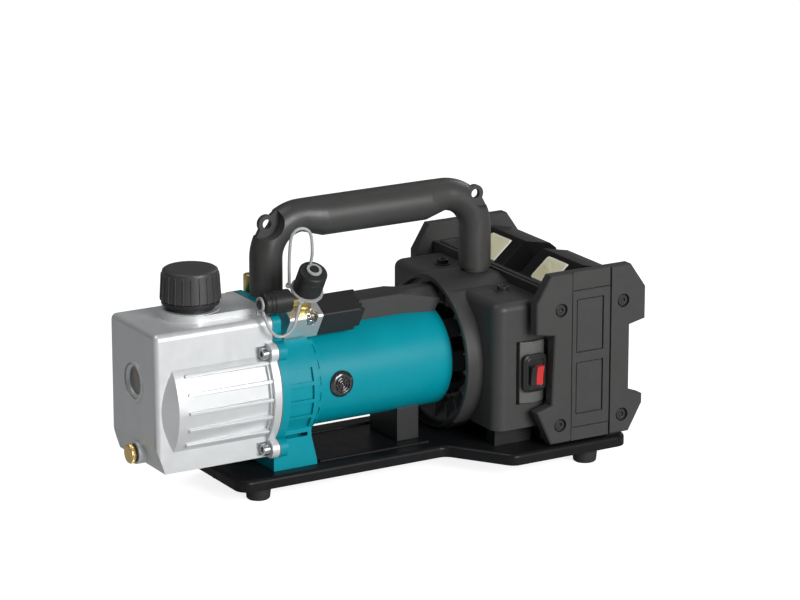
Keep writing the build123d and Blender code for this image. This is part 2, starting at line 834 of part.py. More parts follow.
def motor_end_bell():
    """Black bell that closes the motor and carries the rear bearing."""
    bell = rod_x(x_motor_end, x_bell_end, bell_radius)
    bell = fillet(bell.edges().group_by(Axis.X)[-1], 3)
    bell += rod_x(x_motor_end - 6, x_motor_end, motor_radius - motor_wall)
    bell -= rod_x(x_motor_end - 7, rear_bearing_start - 1, bell_radius - bell_wall)
    bell -= rod_x(rear_bearing_start - 3, rear_bearing_start + rear_bearing_length,
                  rear_bearing_radius)
    for index in range(8):
        vent = box(x_motor_end + 3, fan_start + fan_length + 1, -5, 5,
                   axis_z + bell_radius - 5, axis_z + bell_radius + 1)
        bell -= about_axis(vent, 45 * index + 22.5)
    return bell


# ---------------------------------------------------------------- intake group
x_block = front_x + block_start
x_coil = x_block + block_length
block_top = block_seat + block_height
branch_z = block_top + tee_branch_height
ring_seat = block_top + tee_stem_height
large_cap_start = ring_seat + tether_ring_height + clear
block_mid = block_seat + block_height / 2
tee_line = front_x + tee_x
small_neck_end = tee_line - tee_radius - 6.2
small_cap_end = small_neck_end - small_cap_length
notch_x = x_block + block_length * 0.68
notch_y = block_near + 3.4
notch_radius = 4.6
block_screw_radius = 2.5


def rod_tilt(z0, z1, radius, x, y=seat_centre):
    """Round bar standing on the tilted seat."""
    return on_tilt(rod_z(z0, z1, radius, x, y))


def valve_block():
    """Aluminium block with a chamfered far corner, a screw notch and its passages."""
    y0, y1 = block_near, block_near + block_width
    block = box(x_block, x_coil, y0, y1, block_seat, block_top)
    block = chamfer(edges_along(block, Axis.X).group_by(Axis.Z)[-1], 1.2)
    block -= rod_z(block_mid + 2, block_top + 1, notch_radius, notch_x, notch_y)
    block -= box(notch_x - notch_radius, notch_x + notch_radius, y0 - 1, notch_y,
                 block_mid + 2, block_top + 1)
    block -= rod_z(block_seat - 1, block_mid + 3, block_screw_radius, notch_x, notch_y)
    block -= rod_z(block_mid, block_top + 1, 3.0, tee_line, seat_centre)
    block -= rod_x(tee_line, x_coil + 1, 3.0, seat_centre, block_mid)
    return on_tilt(block)


def block_screw():
    head = block_mid + 2
    screw = rod_z(head, head + 5, 3.8, notch_x, notch_y)
    screw += rod_z(block_seat + 0.2, head, block_screw_radius, notch_x, notch_y)
    socket = Pos(notch_x, notch_y, head + 2.5) * extrude(RegularPolygon(2.0, 6), 4)
    return on_tilt(screw - socket)


def solenoid_valve():
    """Black coil box with a toothed rear end and a bore for its plunger."""
    y0, y1 = block_near, block_near + block_width
    case = box(x_coil, x_coil + coil_length, y0, y1, block_seat, block_top)
    case = chamfer(edges_along(case, Axis.X).group_by(Axis.Z)[-1], 0.8)
    teeth = 5
    pitch = block_width / (2 * teeth - 1)
    for index in range(teeth):
        low = y0 + 2 * index * pitch
        case += box(x_coil + coil_length - 1, x_coil + coil_length + coil_tooth_length, low,
                    low + pitch, block_seat + 3, block_top - 0.8)
    reach = plunger_length + plunger_stroke + 2 * clear
    case -= rod_x(x_coil - 1, x_coil + reach, plunger_radius + fit_gap, seat_centre, block_mid)
    return on_tilt(case)


def solenoid_plunger():
    start = x_coil + clear
    plunger = rod_x(start, start + plunger_length, plunger_radius, seat_centre, block_mid)
    return on_tilt(chamfer(plunger.edges().filter_by(GeomType.CIRCLE), 0.4))


def brass_tee():
    """Brass body with an upright and a forward flare stub."""
    tee = rod_z(block_top, ring_seat, tee_radius, tee_line, seat_centre)
    tee += Pos(tee_line, seat_centre, block_top) * extrude(RegularPolygon(7.4, 6), 5.5)
    stem_top = large_cap_start + 1
    tee += rod_z(ring_seat - 1, stem_top, tee_radius, tee_line, seat_centre)
    stub_top = large_cap_start + large_cap_height - 6
    tee += rod_z(stem_top, stub_top, large_stub_radius, tee_line, seat_centre)
    tee += rod_x(small_neck_end - 1, tee_line, small_neck_radius, seat_centre, branch_z)
    tee += rod_x(small_cap_end + 6, small_neck_end - 1, small_stub_radius, seat_centre, branch_z)
    bore = rod_z(block_top - 1, stub_top + 1, 3.0, tee_line, seat_centre)
    bore += rod_x(small_cap_end, tee_line, 2.2, seat_centre, branch_z)
    return on_tilt(tee - bore)


def flare_cap_large():
    z0, z1 = large_cap_start, large_cap_start + large_cap_height
    cap = rod_z(z0, z1, large_cap_radius, tee_line, seat_centre)
    cap = fillet(cap.edges().group_by(Axis.Z)[-1], 2.0)
    waist = z1 - 5.5
    cap -= rod_z(waist, waist + 1.0, large_cap_radius + 1, tee_line, seat_centre) - rod_z(
        waist - 1, waist + 2, large_cap_radius - 0.5, tee_line, seat_centre)
    cap += rod_z(z1 - 1, z1 + boss_length, boss_radius, tee_line, seat_centre)
    cap -= rod_z(z0 - 1, z1 - 4, large_cap_radius - cap_wall, tee_line, seat_centre)
    return on_tilt(cap)


def flare_cap_small():
    x0, x1 = small_cap_end, small_neck_end - clear
    cap = rod_x(x0, x1, small_cap_radius, seat_centre, branch_z)
    cap = fillet(cap.edges().group_by(Axis.X)[0], 1.6)
    for start in (x0 + 3.6, x0 + 6.6):
        cap -= rod_x(start, start + 1.2, small_cap_radius + 1, seat_centre, branch_z) - rod_x(
            start - 1, start + 2, small_cap_radius - 0.6, seat_centre, branch_z)
    cap += rod_x(x0 - boss_length, x0 + 1, boss_radius, seat_centre, branch_z)
    cap -= rod_x(x0 + 4.2, x1 + 1, small_cap_radius - cap_wall, seat_centre, branch_z)
    return on_tilt(cap)


def strap_rings():
    """Ring under the large cap with its two tabs, and the eyes on the bosses of both caps."""
    ring = rod_z(ring_seat, ring_seat + tether_ring_height, tether_ring_radius, tee_line,
                 seat_centre)
    for angle in tab_angles:
        x = tee_line + tab_reach * cos(radians(angle))
        y = seat_centre + tab_reach * sin(radians(angle))
        ring += rod_z(ring_seat, ring_seat + tether_ring_height, 2.2, x, y)
    ring -= rod_z(ring_seat - 1, ring_seat + 5, tee_radius, tee_line, seat_centre)
    low = large_cap_start + large_cap_height + clear
    upper = rod_z(low, low + tether_ring_height, eye_ring_radius, tee_line, seat_centre)
    upper -= rod_z(low - 1, low + 5, boss_radius + clear, tee_line, seat_centre)
    back = small_cap_end - clear
    front = rod_x(back - tether_ring_height, back, eye_ring_radius, seat_centre, branch_z)
    front -= rod_x(back - 5, back + 1, boss_radius + clear, seat_centre, branch_z)
    return [on_tilt(ring), on_tilt(upper), on_tilt(front)]


LONG_STRAP = [(-63.9, -45.6, 171.0), (-63.9, -48.4, 177.6), (-64.8, -49.9, 184.8),
              (-65.4, -50.2, 191.6), (-67.1, -50.1, 196.0), (-71.0, -49.6, 198.5),
              (-75.6, -48.8, 198.2), (-79.0, -48.0, 195.2), (-80.1, -46.9, 190.6),
              (-79.9, -45.2, 183.3), (-79.0, -42.8, 175.8), (-77.7, -39.9, 168.3),
              (-75.8, -36.6, 161.2), (-74.3, -33.4, 154.4)]
SHORT_STRAP = [(-72.2, -45.8, 144.5), (-74.2, -46.4, 139.2), (-75.5, -46.3, 133.4),
               (-77.2, -45.8, 127.8), (-80.8, -45.2, 123.2), (-86.1, -44.7, 121.1),
               (-91.5, -44.4, 122.7), (-95.3, -43.9, 127.4), (-97.5, -42.3, 133.6),
               (-97.8, -38.6, 139.4)]


def bend_radii(points):
    """Largest arcs that the neighbouring runs of a strap allow."""
    vectors = [Vector(*b) - Vector(*a) for a, b in zip(points, points[1:])]
    radii = []
    for before, after in zip(vectors, vectors[1:]):
        half_turn = radians(before.get_angle(after)) / 2
        radii.append(0.45 * min(before.length, after.length) / tan(half_turn))
    return radii


def strap(points):
    """Plain round tube along a strap's route: straight runs joined by tangent arcs."""
    radii = bend_radii(points)
    path = FilletPolyline(*points, radius=radii)
    start = Vector(*points[1]) - Vector(*points[0])
    section = Plane(origin=points[0], z_dir=start) * Circle(strap_radius)
    tube = sweep(section, path=path)
    print("strap radii", [round(radius, 1) for radius in radii], "volume share",
          round(tube.volume / (pi * strap_radius ** 2 * path.length), 4))
    return tube


def tether_long():
    return strap(LONG_STRAP)


def tether_short():
    return strap(SHORT_STRAP)


def ballast_valve():
    """Plain brass knob on the far side of the bracket."""
    x = front_x + ballast_x
    knob = rod_z(ballast_z, ballast_z + ballast_height, ballast_radius, x, ballast_y)
    return chamfer(knob.edges().filter_by(GeomType.CIRCLE), 0.6)


# ---------------------------------------------------------------- handle
handle_rear_foot = hump_pad_z + collar_ring_height


def bend_point(x, side):
    """Middle of a corner bend whose centre stands under x."""
    reach = handle_bend * cos(pi / 4)
    return (x + side * reach, 0, handle_line_z - handle_bend + reach)


def grip_section(x, radius):
    """Round section of the grip, its top level with the handle's top."""
    plane = Plane(origin=(x, 0, handle_top_z - radius), x_dir=(0, 1, 0), z_dir=(1, 0, 0))
    return plane * Circle(radius)


def handle():
    """Bent tube with a thicker grip and a strap eye on each outer corner."""
    x0, x1 = front_x + handle_front_x, front_x + handle_rear_x
    bend_z = handle_line_z - handle_bend
    b0, b1 = x0 + handle_bend, x1 - handle_bend
    g0, g1 = b0 + grip_taper, b1 - grip_taper
    front_leg = Line((x0, 0, handle_boss_top), (x0, 0, bend_z))
    front_leg += ThreePointArc((x0, 0, bend_z), bend_point(b0, -1), (b0, 0, handle_line_z))
    rear_leg = Line((x1, 0, handle_rear_foot), (x1, 0, bend_z))
    rear_leg += ThreePointArc((x1, 0, bend_z), bend_point(b1, 1), (b1, 0, handle_line_z))
    tube = sweep(Pos(x0, 0, handle_boss_top) * Circle(handle_radius), path=front_leg)
    tube += sweep(Pos(x1, 0, handle_rear_foot) * Circle(handle_radius), path=rear_leg)
    tube += loft([grip_section(b0, handle_radius), grip_section(g0, grip_radius)])
    tube += rod_x(g0, g1, grip_radius, 0, handle_top_z - grip_radius)
    tube += loft([grip_section(g1, grip_radius), grip_section(b1, handle_radius)])
    for x, side in ((b0, -1), (b1, 1)):
        out, up = side * cos(radians(eye_angle)), sin(radians(eye_angle))
        corner = (x + eye_reach * out, bend_z + eye_reach * up)
        scoop = rod_y(-20, 20, scoop_radius, x + scoop_reach * out, bend_z + scoop_reach * up)
        half = eye_thickness / 2
        tube -= scoop - box(-400, 400, -half, half, 0, 400)
        tube += rod_y(-half, half, eye_radius, *corner)
        tube -= rod_y(-20, 20, eye_hole, *corner)
    for x, z in ((x0, handle_boss_top), (x1, handle_rear_foot)):
        tube -= rod_z(z - 1, z + 15, handle_bore, x)
    return tube


def handle_collar():
    x = front_x + handle_rear_x
    ring = rod_z(hump_pad_z, handle_rear_foot, collar_ring_radius, x)
    return ring - rod_z(hump_pad_z - 1, handle_rear_foot + 1, handle_bore, x)


def handle_bolts():
    """Studs that hold both handle legs, with a nut under the housing's roof."""
    x0, x1 = front_x + handle_front_x, front_x + handle_rear_x
    front = rod_z(handle_boss_top - 10, handle_boss_top + 15, handle_bore, x0)
    rear = rod_z(hump_pad_z - 8, handle_rear_foot + 15, handle_bore, x1)
    rear += rod_z(hump_pad_z - 8, hump_pad_z - 3.4, 6.5, x1)
    return [front, rear]


# ---------------------------------------------------------------- rear housing
x_cowl = front_x + cowl_start
x_house = front_x + housing_start
x_house_end = front_x + housing_end
x_mouth = x_cowl + cowl_depth
hump_inner = cowl_radius - cowl_wall
x_switch = front_x + switch_x
recess_x = x_switch - switch_plate_length / 2 - 2.6
recess_half_z = switch_plate_height / 2 + 0.6


def housing_body():
    """Squared shell with the round cowl and hump that carries the handle."""
    body = box(x_house, x_house_end, -housing_half, housing_half, housing_bottom, housing_top)
    body = fillet(edges_along(body, Axis.Z).group_by(Axis.X)[0], housing_corner)
    body = fillet(body.edges().group_by(Axis.Z)[-1].group_by(Axis.X)[0], housing_corner - 3)
    hump = rod_x(x_cowl, x_house_end, cowl_radius)
    hump = fillet(hump.edges().group_by(Axis.X)[0], 1.5)
    hump &= box(x_cowl, x_house_end, -80, 80, tray_top + 1, 200)
    body += hump
    cut_z = hump_pad_z
    body -= box(x_house + 16, x_house_end + 1, -12, 12, cut_z, cut_z + 20)
    return body


def rear_housing():
    body = housing_body()
    w = housing_wall
    room = box(x_house + w, x_house_end + 1, w - housing_half, housing_half - w,
               housing_bottom + w, housing_top - w)
    floor = rod_x(x_cowl - 1, x_mouth + w, cowl_radius)
    body -= room - floor
    body -= rod_x(x_mouth + w, x_house_end + 1, hump_inner) & box(
        x_cowl, x_house_end + 1, -80, 80, housing_bottom + w, hump_pad_z - w)
    body -= rod_x(x_cowl - 1, x_mouth, hump_inner)
    body -= rod_x(x_mouth - 1, x_mouth + w + 1, bell_radius)
    for index in range(inlet_fins):
        slot = box(x_mouth - 1, x_mouth + w + 1, -2.6, 2.6, axis_z + bell_radius + 5,
                   axis_z + hump_inner - 3)
        body -= about_axis(slot, 360 * (index + 0.5) / inlet_fins)
    body -= box(recess_x, x_house_end + 1, -housing_half - 1, recess_depth - housing_half,
                switch_z - recess_half_z, switch_z + recess_half_z)
    pocket = box(recess_x - w, x_house_end, -housing_half + w - 0.5,
                 recess_depth + w - housing_half, switch_z - recess_half_z - w,
                 switch_z + recess_half_z + w)
    pocket -= box(recess_x, x_house_end + 1, -housing_half - 1, recess_depth - housing_half,
                  switch_z - recess_half_z, switch_z + recess_half_z)
    body += pocket
    body -= switch_tunnel(0.0)
    for side in (-1, 1):
        lug_x, lug_y = x_house_end - 14.3, side * 42.0
        body += rod_z(housing_top - 6, housing_top + 0.8, 6.0, lug_x, lug_y)
        body -= rod_z(housing_top - 5, housing_top + 2, housing_screw_radius, lug_x, lug_y)
        body += box(x_house + 6, x_house_end - 4, side * 58 - 6, side * 58 + 6, tray_top,
                    housing_bottom + 1)
    x_leg = front_x + handle_rear_x
    body -= rod_z(hump_pad_z - 20, hump_pad_z + 2, handle_bore, x_leg)
    return body


housing_screw_radius = 2.2


def housing_screws():
    """Two top screws with washers-faced heads."""
    screws = []
    for side in (-1, 1):
        x, y, z = x_house_end - 14.3, side * 42.0, housing_top + 0.8
        screw = rod_z(z, z + 3.0, 4.4, x, y) + rod_z(z - 5, z, housing_screw_radius, x, y)
        screws.append(screw - rod_z(z + 1.2, z + 4, 2.4, x, y))
    return screws


def air_inlet_ring():
    """Dished ring between the cowl and the motor bell, with thin radial fins in front."""
    start = x_cowl + dish_front
    inner, outer = bell_radius + seat_gap, hump_inner
    back = start + dish_depth
    dish = cone_x(start, back, outer, dish_inner)
    dish -= cone_x(start - dish_wall, back - dish_wall, outer, dish_inner)
    ring = dish + rod_x(back - 1, x_mouth, dish_inner + 1)
    ring += rod_x(start, x_mouth, outer) - rod_x(start - 1, x_mouth + 1, outer - 1.2)
    ring -= rod_x(start - 1, x_mouth + 1, inner)
    for index in range(inlet_fins):
        fin = prism_y([(start, axis_z + outer - 0.6), (start + 1.5, axis_z + inner + 6),
                       (back + 1, axis_z + inner + 0.4), (back + 1, axis_z + dish_inner),
                       (start + 2, axis_z + outer - 0.6)],
                      -inlet_fin_thickness / 2, inlet_fin_thickness / 2)
        ring += about_axis(fin, 360 * index / inlet_fins)
    return ring


def cover_section(x, half, edge_rise, top_half, top_rise):
    """Outline of the spine cover across the motor at one station."""
    high = axis_z + motor_radius
    points = [(-half, high - 8), (-half, high + edge_rise), (-top_half, high + top_rise),
              (top_half, high + top_rise), (half, high + edge_rise), (half, high - 8)]
    plane = Plane(origin=(x, 0, 0), x_dir=(0, 1, 0), z_dir=(1, 0, 0))
    return plane * make_face(Polyline(*points, close=True))


def top_cover():
    """Spine over the motor whose near and far top edges fall away towards the cowl."""
    x0, x1, x2 = (front_x + place for place in (cover_start, cover_mid, cover_end))
    middle = cover_section(x1, cover_half, cover_rise - 0.4, cover_spine, cover_rise)
    front = cover_section(x0, cover_half, cover_rise - 0.4, cover_spine, cover_rise)
    rear = cover_section(x2, cover_rear_half, cover_rear_rise, cover_spine, cover_rise)
    cover = loft([front, middle], ruled=True) + loft([middle, rear], ruled=True)
    cover -= rod_x(x0 - 1, x2 + 1, motor_radius + seat_gap)
    inner = box(x0 + 3, x2 - 12, -9, 9, axis_z + motor_radius - 3, axis_z + motor_radius + 4)
    slant = prism_y([(x2 - 8, 100), (x2 - 8, axis_z + motor_radius - 2),
                     (x2 + 1, axis_z + motor_radius + cover_rise + 1), (x2 + 1, 100)], -40, 40)
    return cover - inner - slant


def controller_board():
    """Motor control board with its capacitors and power stage."""
    x = x_house_end - 9
    board = box(x, x + 1.6, -48, 48, axis_z - 34, axis_z + 38)
    for y in (-30, -12, 12):
        board += rod_x(x - 8, x, 4.5, y, axis_z + 22)
    board += box(x - 4, x, 20, 42, axis_z - 20, axis_z + 10)
    board += box(x + 1.6, x_house_end, -44, -38, axis_z - 30, axis_z - 24)
    board += box(x + 1.6, x_house_end, 38, 44, axis_z - 30, axis_z - 24)
    return board


# ---------------------------------------------------------------- switch
body_length = bezel_length - 5.0
body_height = bezel_height - 7.0
plate_back = recess_depth - housing_half
ridge_y = -housing_half - switch_plate_ridge
bezel_y = ridge_y - bezel_depth
pivot_y = ridge_y - 0.4


def switch_tunnel(grow):
    """Space of the switch body through plate and wall."""
    half_x, half_z = body_length / 2 + grow, body_height / 2 + grow
    return box(x_switch - half_x, x_switch + half_x, -housing_half - 20, plate_back + 16,
               switch_z - half_z, switch_z + half_z)


def switch_plate():
    """Bevelled plate in the side recess, its two facets meeting in an upright ridge."""
    x0, x1 = x_switch - switch_plate_length / 2, x_switch + switch_plate_length / 2
    edge = -housing_half - 0.6
    outline = [(x0, plate_back), (x0, edge), (x_switch, ridge_y), (x1, edge), (x1, plate_back)]
    half = switch_plate_height / 2
    return prism_z(outline, switch_z - half, switch_z + half) - switch_tunnel(0.0)


def power_switch():
    """Rocker switch body with its rounded bezel."""
    half_x, half_z = bezel_length / 2, bezel_height / 2
    bezel = box(x_switch - half_x, x_switch + half_x, bezel_y, ridge_y, switch_z - half_z,
                switch_z + half_z)
    bezel = fillet(edges_along(bezel, Axis.Y), 4.0)
    bezel = fillet(bezel.edges().group_by(Axis.Y)[0], 1.2)
    body = bezel + (switch_tunnel(0.0) & box(-400, 400, bezel_y + 1, plate_back + 14, 0, 400))
    half_rx, half_rz = rocker_length / 2 + clear, rocker_height / 2 + 1.0
    return body - box(x_switch - half_rx, x_switch + half_rx, bezel_y - 5, pivot_y + 8,
                      switch_z - half_rz, switch_z + half_rz)


def power_rocker():
    """Red rocker with two facets, resting in its off position."""
    half = rocker_height / 2 - 0.6
    face = bezel_depth + 1.0
    outline = [(-face - 1.0, half), (-face, 0), (-face - 1.0, -half), (2.0, 2 - half),
               (3.4, 0), (2.0, half - 2)]
    rocker = prism_x(outline, x_switch - rocker_length / 2, x_switch + rocker_length / 2)
    rocker -= rod_x(x_switch - 20, x_switch + 20, 0.8, 0, 0)
    return Pos(0, pivot_y, switch_z) * Rot(rocker_swing / 2, 0, 0) * rocker


# ---------------------------------------------------------------- battery cradle and batteries
x_plate_end = x_house_end + cradle_plate
x_battery = front_x + battery_start
x_battery_end = front_x + battery_end
cradle_half = guard_outer - guard_thickness
divider_half = 1.0
rail_neck_end = x_battery + 1.6
rail_end = rail_neck_end + rail_lip
rail_bottom = battery_bottom + 9
rail_top = rail_bottom + rail_height
rail_neck = rail_width - 16.0
blade_spots = (-11.0, 11.0)
blade_half = 0.5
blade_reach = 4.0
battery_middle = divider_half + clear + battery_width / 2


def battery_cradle():
    """Moulded frame: front plate with slide rails, floor, divider and side walls."""
    end = front_x + cradle_end
    low = battery_bottom - 1 - cradle_floor
    body = box(x_house_end, x_plate_end, -cradle_half, cradle_half, low, cradle_top)
    body -= box(x_house_end + 2.6, x_house_end + 4.4, -cradle_half - 1, cradle_half + 1,
                cradle_top - 1.6, cradle_top + 1)
    body += box(x_house_end, end, -cradle_half, cradle_half, low, battery_bottom - 1)
    body += box(x_house_end, end - 6, -divider_half, divider_half, low, battery_rear_top - 14)
    for side in (-1, 1):
        wall = box(x_house_end, end - 2, cradle_half - cradle_wall, cradle_half, low,
                   cradle_top)
        body += wall if side > 0 else mirrored(wall)
        y = side * battery_middle
        body += box(x_house_end, rail_neck_end, y - rail_neck / 2, y + rail_neck / 2,
                    rail_bottom, rail_top)
        body += box(rail_neck_end, rail_end, y - rail_width / 2, y + rail_width / 2,
                    rail_bottom, rail_top)
        foot_y = side * 62
        body += box(x_house_end + 2, end - 4, foot_y - 6, foot_y + 6, tray_top, low + 1)
        for x in screw_x:
            for z in screw_z:
                body -= rod_y(side * cradle_half - 10, side * cradle_half + 10,
                              guard_screw_radius, front_x + x, z)
    notch = box(x_house_end - 1, x_switch + bezel_length / 2 + 3, -cradle_half - 1,
                1 - housing_half, switch_z - recess_half_z, switch_z + recess_half_z)
    return body - notch


def battery_terminals():
    """Brass contact blades of both batteries."""
    blades = []
    for side in (-1, 1):
        for spot in blade_spots:
            y = side * battery_middle + spot
            blades.append(box(rail_end, rail_end + blade_reach, y - blade_half, y + blade_half,
                              rail_bottom + 8, rail_bottom + 8 + terminal_height))
    return blades


slope_low = (x_battery + 8.5, battery_top - 16.2)
slope_high = (x_battery + 26.0, battery_top - 1.2)
slope_angle = degrees(atan2(slope_high[1] - slope_low[1], slope_high[0] - slope_low[0]))
slope_length = sqrt((slope_high[0] - slope_low[0]) ** 2 + (slope_high[1] - slope_low[1]) ** 2)
button_length = slope_length - 2.2


def on_slope(side, shape):
    """A shape with Z = out of the slanted top corner, moved to one battery's button."""
    x = (slope_low[0] + slope_high[0]) / 2
    z = (slope_low[1] + slope_high[1]) / 2
    return Pos(x, side * battery_middle, z) * Rot(0, -slope_angle, 0) * shape


def pack_section(y, drop, draw_in):
    """Side outline of a battery pack at one station, its top dropped and its rear drawn in."""
    low, high = slope_low[1] - drop, slope_high[1] - drop
    rear = x_battery_end - draw_in
    points = [(x_battery, battery_bottom), (x_battery, low - 4.8), (slope_low[0], low),
              (slope_high[0], high), (slope_high[0] + 3, high + 1.2),
              (rear - 5.5, battery_rear_top + 0.9 - drop), (rear, battery_rear_top - 3.5 - drop),
              (rear, battery_bottom + 5), (rear - 4.5, battery_bottom)]
    plane = Plane(origin=(0, y, 0), x_dir=(1, 0, 0), z_dir=(0, -1, 0))
    return plane * make_face(Polyline(*points, close=True))


def pack_body(y):
    """Pack with broad bevelled shoulders along its top and rear."""
    half, flat = battery_width / 2, battery_width / 2 - shoulder_width
    body = loft([pack_section(y - flat, 0, 0), pack_section(y + flat, 0, 0)], ruled=True)
    for sign in (-1, 1):
        sections = [pack_section(y + sign * flat, 0, 0),
                    pack_section(y + sign * half, shoulder_drop, shoulder_draw)]
        body += loft(sections, ruled=True)
    return body


def battery(side):
    """Slide-in battery pack with its channel, contact slots and button recess."""
    y = side * battery_middle
    pack = pack_body(y)
    low, high = battery_bottom - 1, rail_top + clear
    neck, head = rail_neck / 2 + clear, rail_width / 2 + clear
    pack -= box(x_battery - 1, rail_neck_end + clear, y - neck, y + neck, low, high)
    pack -= box(rail_neck_end - clear, rail_end + clear, y - head, y + head, low, high)
    for spot in blade_spots:
        slot = blade_half + clear
        pack -= box(rail_end, rail_end + blade_reach + clear, y + spot - slot, y + spot + slot,
                    low, rail_bottom + 8 + terminal_height + clear)
    depth = button_thickness + button_travel
    pack -= on_slope(side, Pos(0, 0, -depth / 2 + 0.3) * Box(
        button_length + 2 * clear, button_width + 2 * clear, depth + 0.6))
    for level in (0.35, 0.62):
        groove_z = battery_bottom + level * (battery_top - battery_bottom)
        pack -= box(x_battery_end - 0.8, x_battery_end + 1, y - battery_width / 2 + 8,
                    y + battery_width / 2 - 8, groove_z, groove_z + 1.5)
    return pack


def battery_button(side):
    """Cream release button, proud of the slanted corner by a little."""
    proud = 0.8
    button = Pos(0, 0, proud - button_thickness / 2) * Box(button_length, button_width,
                                                           button_thickness)
    button = fillet(button.edges().group_by(Axis.Z)[-1], 0.6)
    return on_slope(side, button)


# ---------------------------------------------------------------- side guards
guard_outline = [(guard_left + 1, 48.0), (288.6, 51.8), (290.4, 103.2), (guard_left, 105.9),
                 (guard_left, 129.0), (287.1, guard_top), (guard_right, guard_top),
                 (guard_ear, 129.7), (guard_ear, 105.7), (guard_right - 0.4, 102.8),
                 (guard_right - 0.4, 53.4), (guard_ear - 1.6, 49.1), (guard_ear - 1.6, 42.2),
                 (guard_right, guard_bottom), (288.2, guard_bottom)]
panel_x = (304.7, 338.3)
panel_z = (32.0, 135.0)
window_x = (309.0, 332.0)
window_z = ((42.0, 81.0), (88.0, 128.0))


def guard_groove(x0, x1, z0, z1):
    """Narrow groove that runs round a rectangle on a guard's outer face."""
    face = -guard_outer
    outer = box(front_x + x0, front_x + x1, face - 1, face + groove_depth, z0, z1)
    return outer - box(front_x + x0 + groove_width, front_x + x1 - groove_width, face - 2,
                       face + groove_depth + 1, z0 + groove_width, z1 - groove_width)


def guard(side):
    """Thick side guard with a framed centre panel and sunk screw seats."""
    points = [(front_x + x, z) for x, z in guard_outline]
    plate = prism_y(points, -guard_outer, guard_thickness - guard_outer)
    plate = chamfer(plate.edges().group_by(Axis.Y)[0], 1.0)
    face = -guard_outer
    plate -= box(front_x + panel_x[0], front_x + panel_x[1], face - 1, face + 0.8,
                 guard_bottom - 1, guard_top + 1)
    plate += box(front_x + panel_x[0], front_x + panel_x[1], face + 0.5, face + 2,
                 panel_z[0], panel_z[1])
    for low, high in window_z:
        plate -= box(front_x + window_x[0], front_x + window_x[1], face - 1, face + 1.0, low, high)
        plate -= guard_groove(*window_x, low, high)
    plate -= guard_groove(*panel_x, *panel_z)
    plate -= guard_groove(*panel_x, guard_bottom - 5, guard_top + 5)
    for x in screw_x:
        for z in screw_z:
            plate -= rod_y(face - 1, face + 3.2, guard_screw_head + 1.1, front_x + x, z)
            plate -= rod_y(face - 1, face + 40, guard_screw_radius, front_x + x, z) & box(
                -400, 400, -guard_outer - 1, 0, 0, 400)
    return plate if side < 0 else mirrored(plate)


def guard_screws():
    """Button-head screws that hold both guards to the cradle."""
    screws = []
    for side in (-1, 1):
        for x in screw_x:
            for z in screw_z:
                seat = guard_outer - 3.2
                head = rod_y(seat, seat + 2.4, guard_screw_head, front_x + x, z)
                head -= rod_y(seat + 1.0, seat + 4, 1.8, front_x + x, z)
                screw = head + rod_y(cradle_half - cradle_wall, seat, guard_screw_radius,
                                     front_x + x, z)
                screws.append(screw if side > 0 else mirrored(screw))
    return screws


def case_screws():
    """Screws of the two guards and of the housing's top."""
    return guard_screws() + housing_screws()


# ---------------------------------------------------------------- base, support and feet
def tray_outline(inset=0.0):
    """Half-width steps from the narrow front to the wide battery end."""
    x0, x1 = front_x + tray_start + inset, front_x + tray_end - inset
    s0, s1 = front_x + tray_step_start, front_x + tray_step_end
    narrow, wide = tray_half_narrow - inset, tray_half_wide - inset
    return [(x0, -narrow), (s0 + inset / 2, -narrow), (s1 + inset / 2, -wide), (x1, -wide),
            (x1, wide), (s1 + inset / 2, wide), (s0 + inset / 2, narrow), (x0, narrow)]


foot_spots = [(front_x + x, side * y)
              for x, y in ((foot_front_x, foot_front_y), (foot_rear_x, foot_rear_y))
              for side in (-1, 1)]


def base_tray():
    """Inverted pan with a rounded rim, beads on top and a boss over every foot."""
    tray = prism_z(tray_outline(), tray_z, tray_top)
    tray = fillet(edges_along(tray, Axis.Z), 10.0)
    tray = fillet(tray.edges().group_by(Axis.Z)[-1], 3.0)
    tray -= prism_z(tray_outline(tray_wall), tray_z - 1, tray_top - tray_floor)
    for side in (-1, 1):
        bead = box(x_bell_ring + 8, front_x + tray_step_start - 6, side * 30 - bead_width / 2,
                   side * 30 + bead_width / 2, tray_top - 1, tray_top + bead_height)
        tray += fillet(bead.edges().group_by(Axis.Z)[-1], 1.0)
    for x, y in foot_spots:
        tray += rod_z(tray_z, tray_top - 1, foot_radius + 1, x, y)
        tray -= rod_z(tray_z - 1, tray_z + 5, 2.0, x, y)
    return tray


def rubber_foot(x, y):
    foot = Pos(x, y, foot_height / 2) * Cone(foot_radius - foot_taper, foot_radius, foot_height)
    foot -= rod_z(-1, 5.0, 4.2, x, y)
    return foot - rod_z(0, foot_height + 1, 2.0, x, y)


def rubber_feet():
    return [rubber_foot(x, y) for x, y in foot_spots]


def foot_screws():
    return [rod_z(2.4, 5.0, 3.8, x, y) + rod_z(5.0, tray_z + 5, 2.0, x, y)
            for x, y in foot_spots]


def motor_support():
    """Grey saddle under the motor, screwed to the tray."""
    x0 = x_motor_end - 36.5
    x1 = x0 + 18
    post = box(x0, x1, -20, 20, tray_top, axis_z - 28)
    post -= rod_x(x0 - 1, x1 + 1, motor_radius)
    post -= box(x0 + 3, x1 - 3, -16, 16, tray_top + 3, axis_z - motor_radius - 3)
    return post


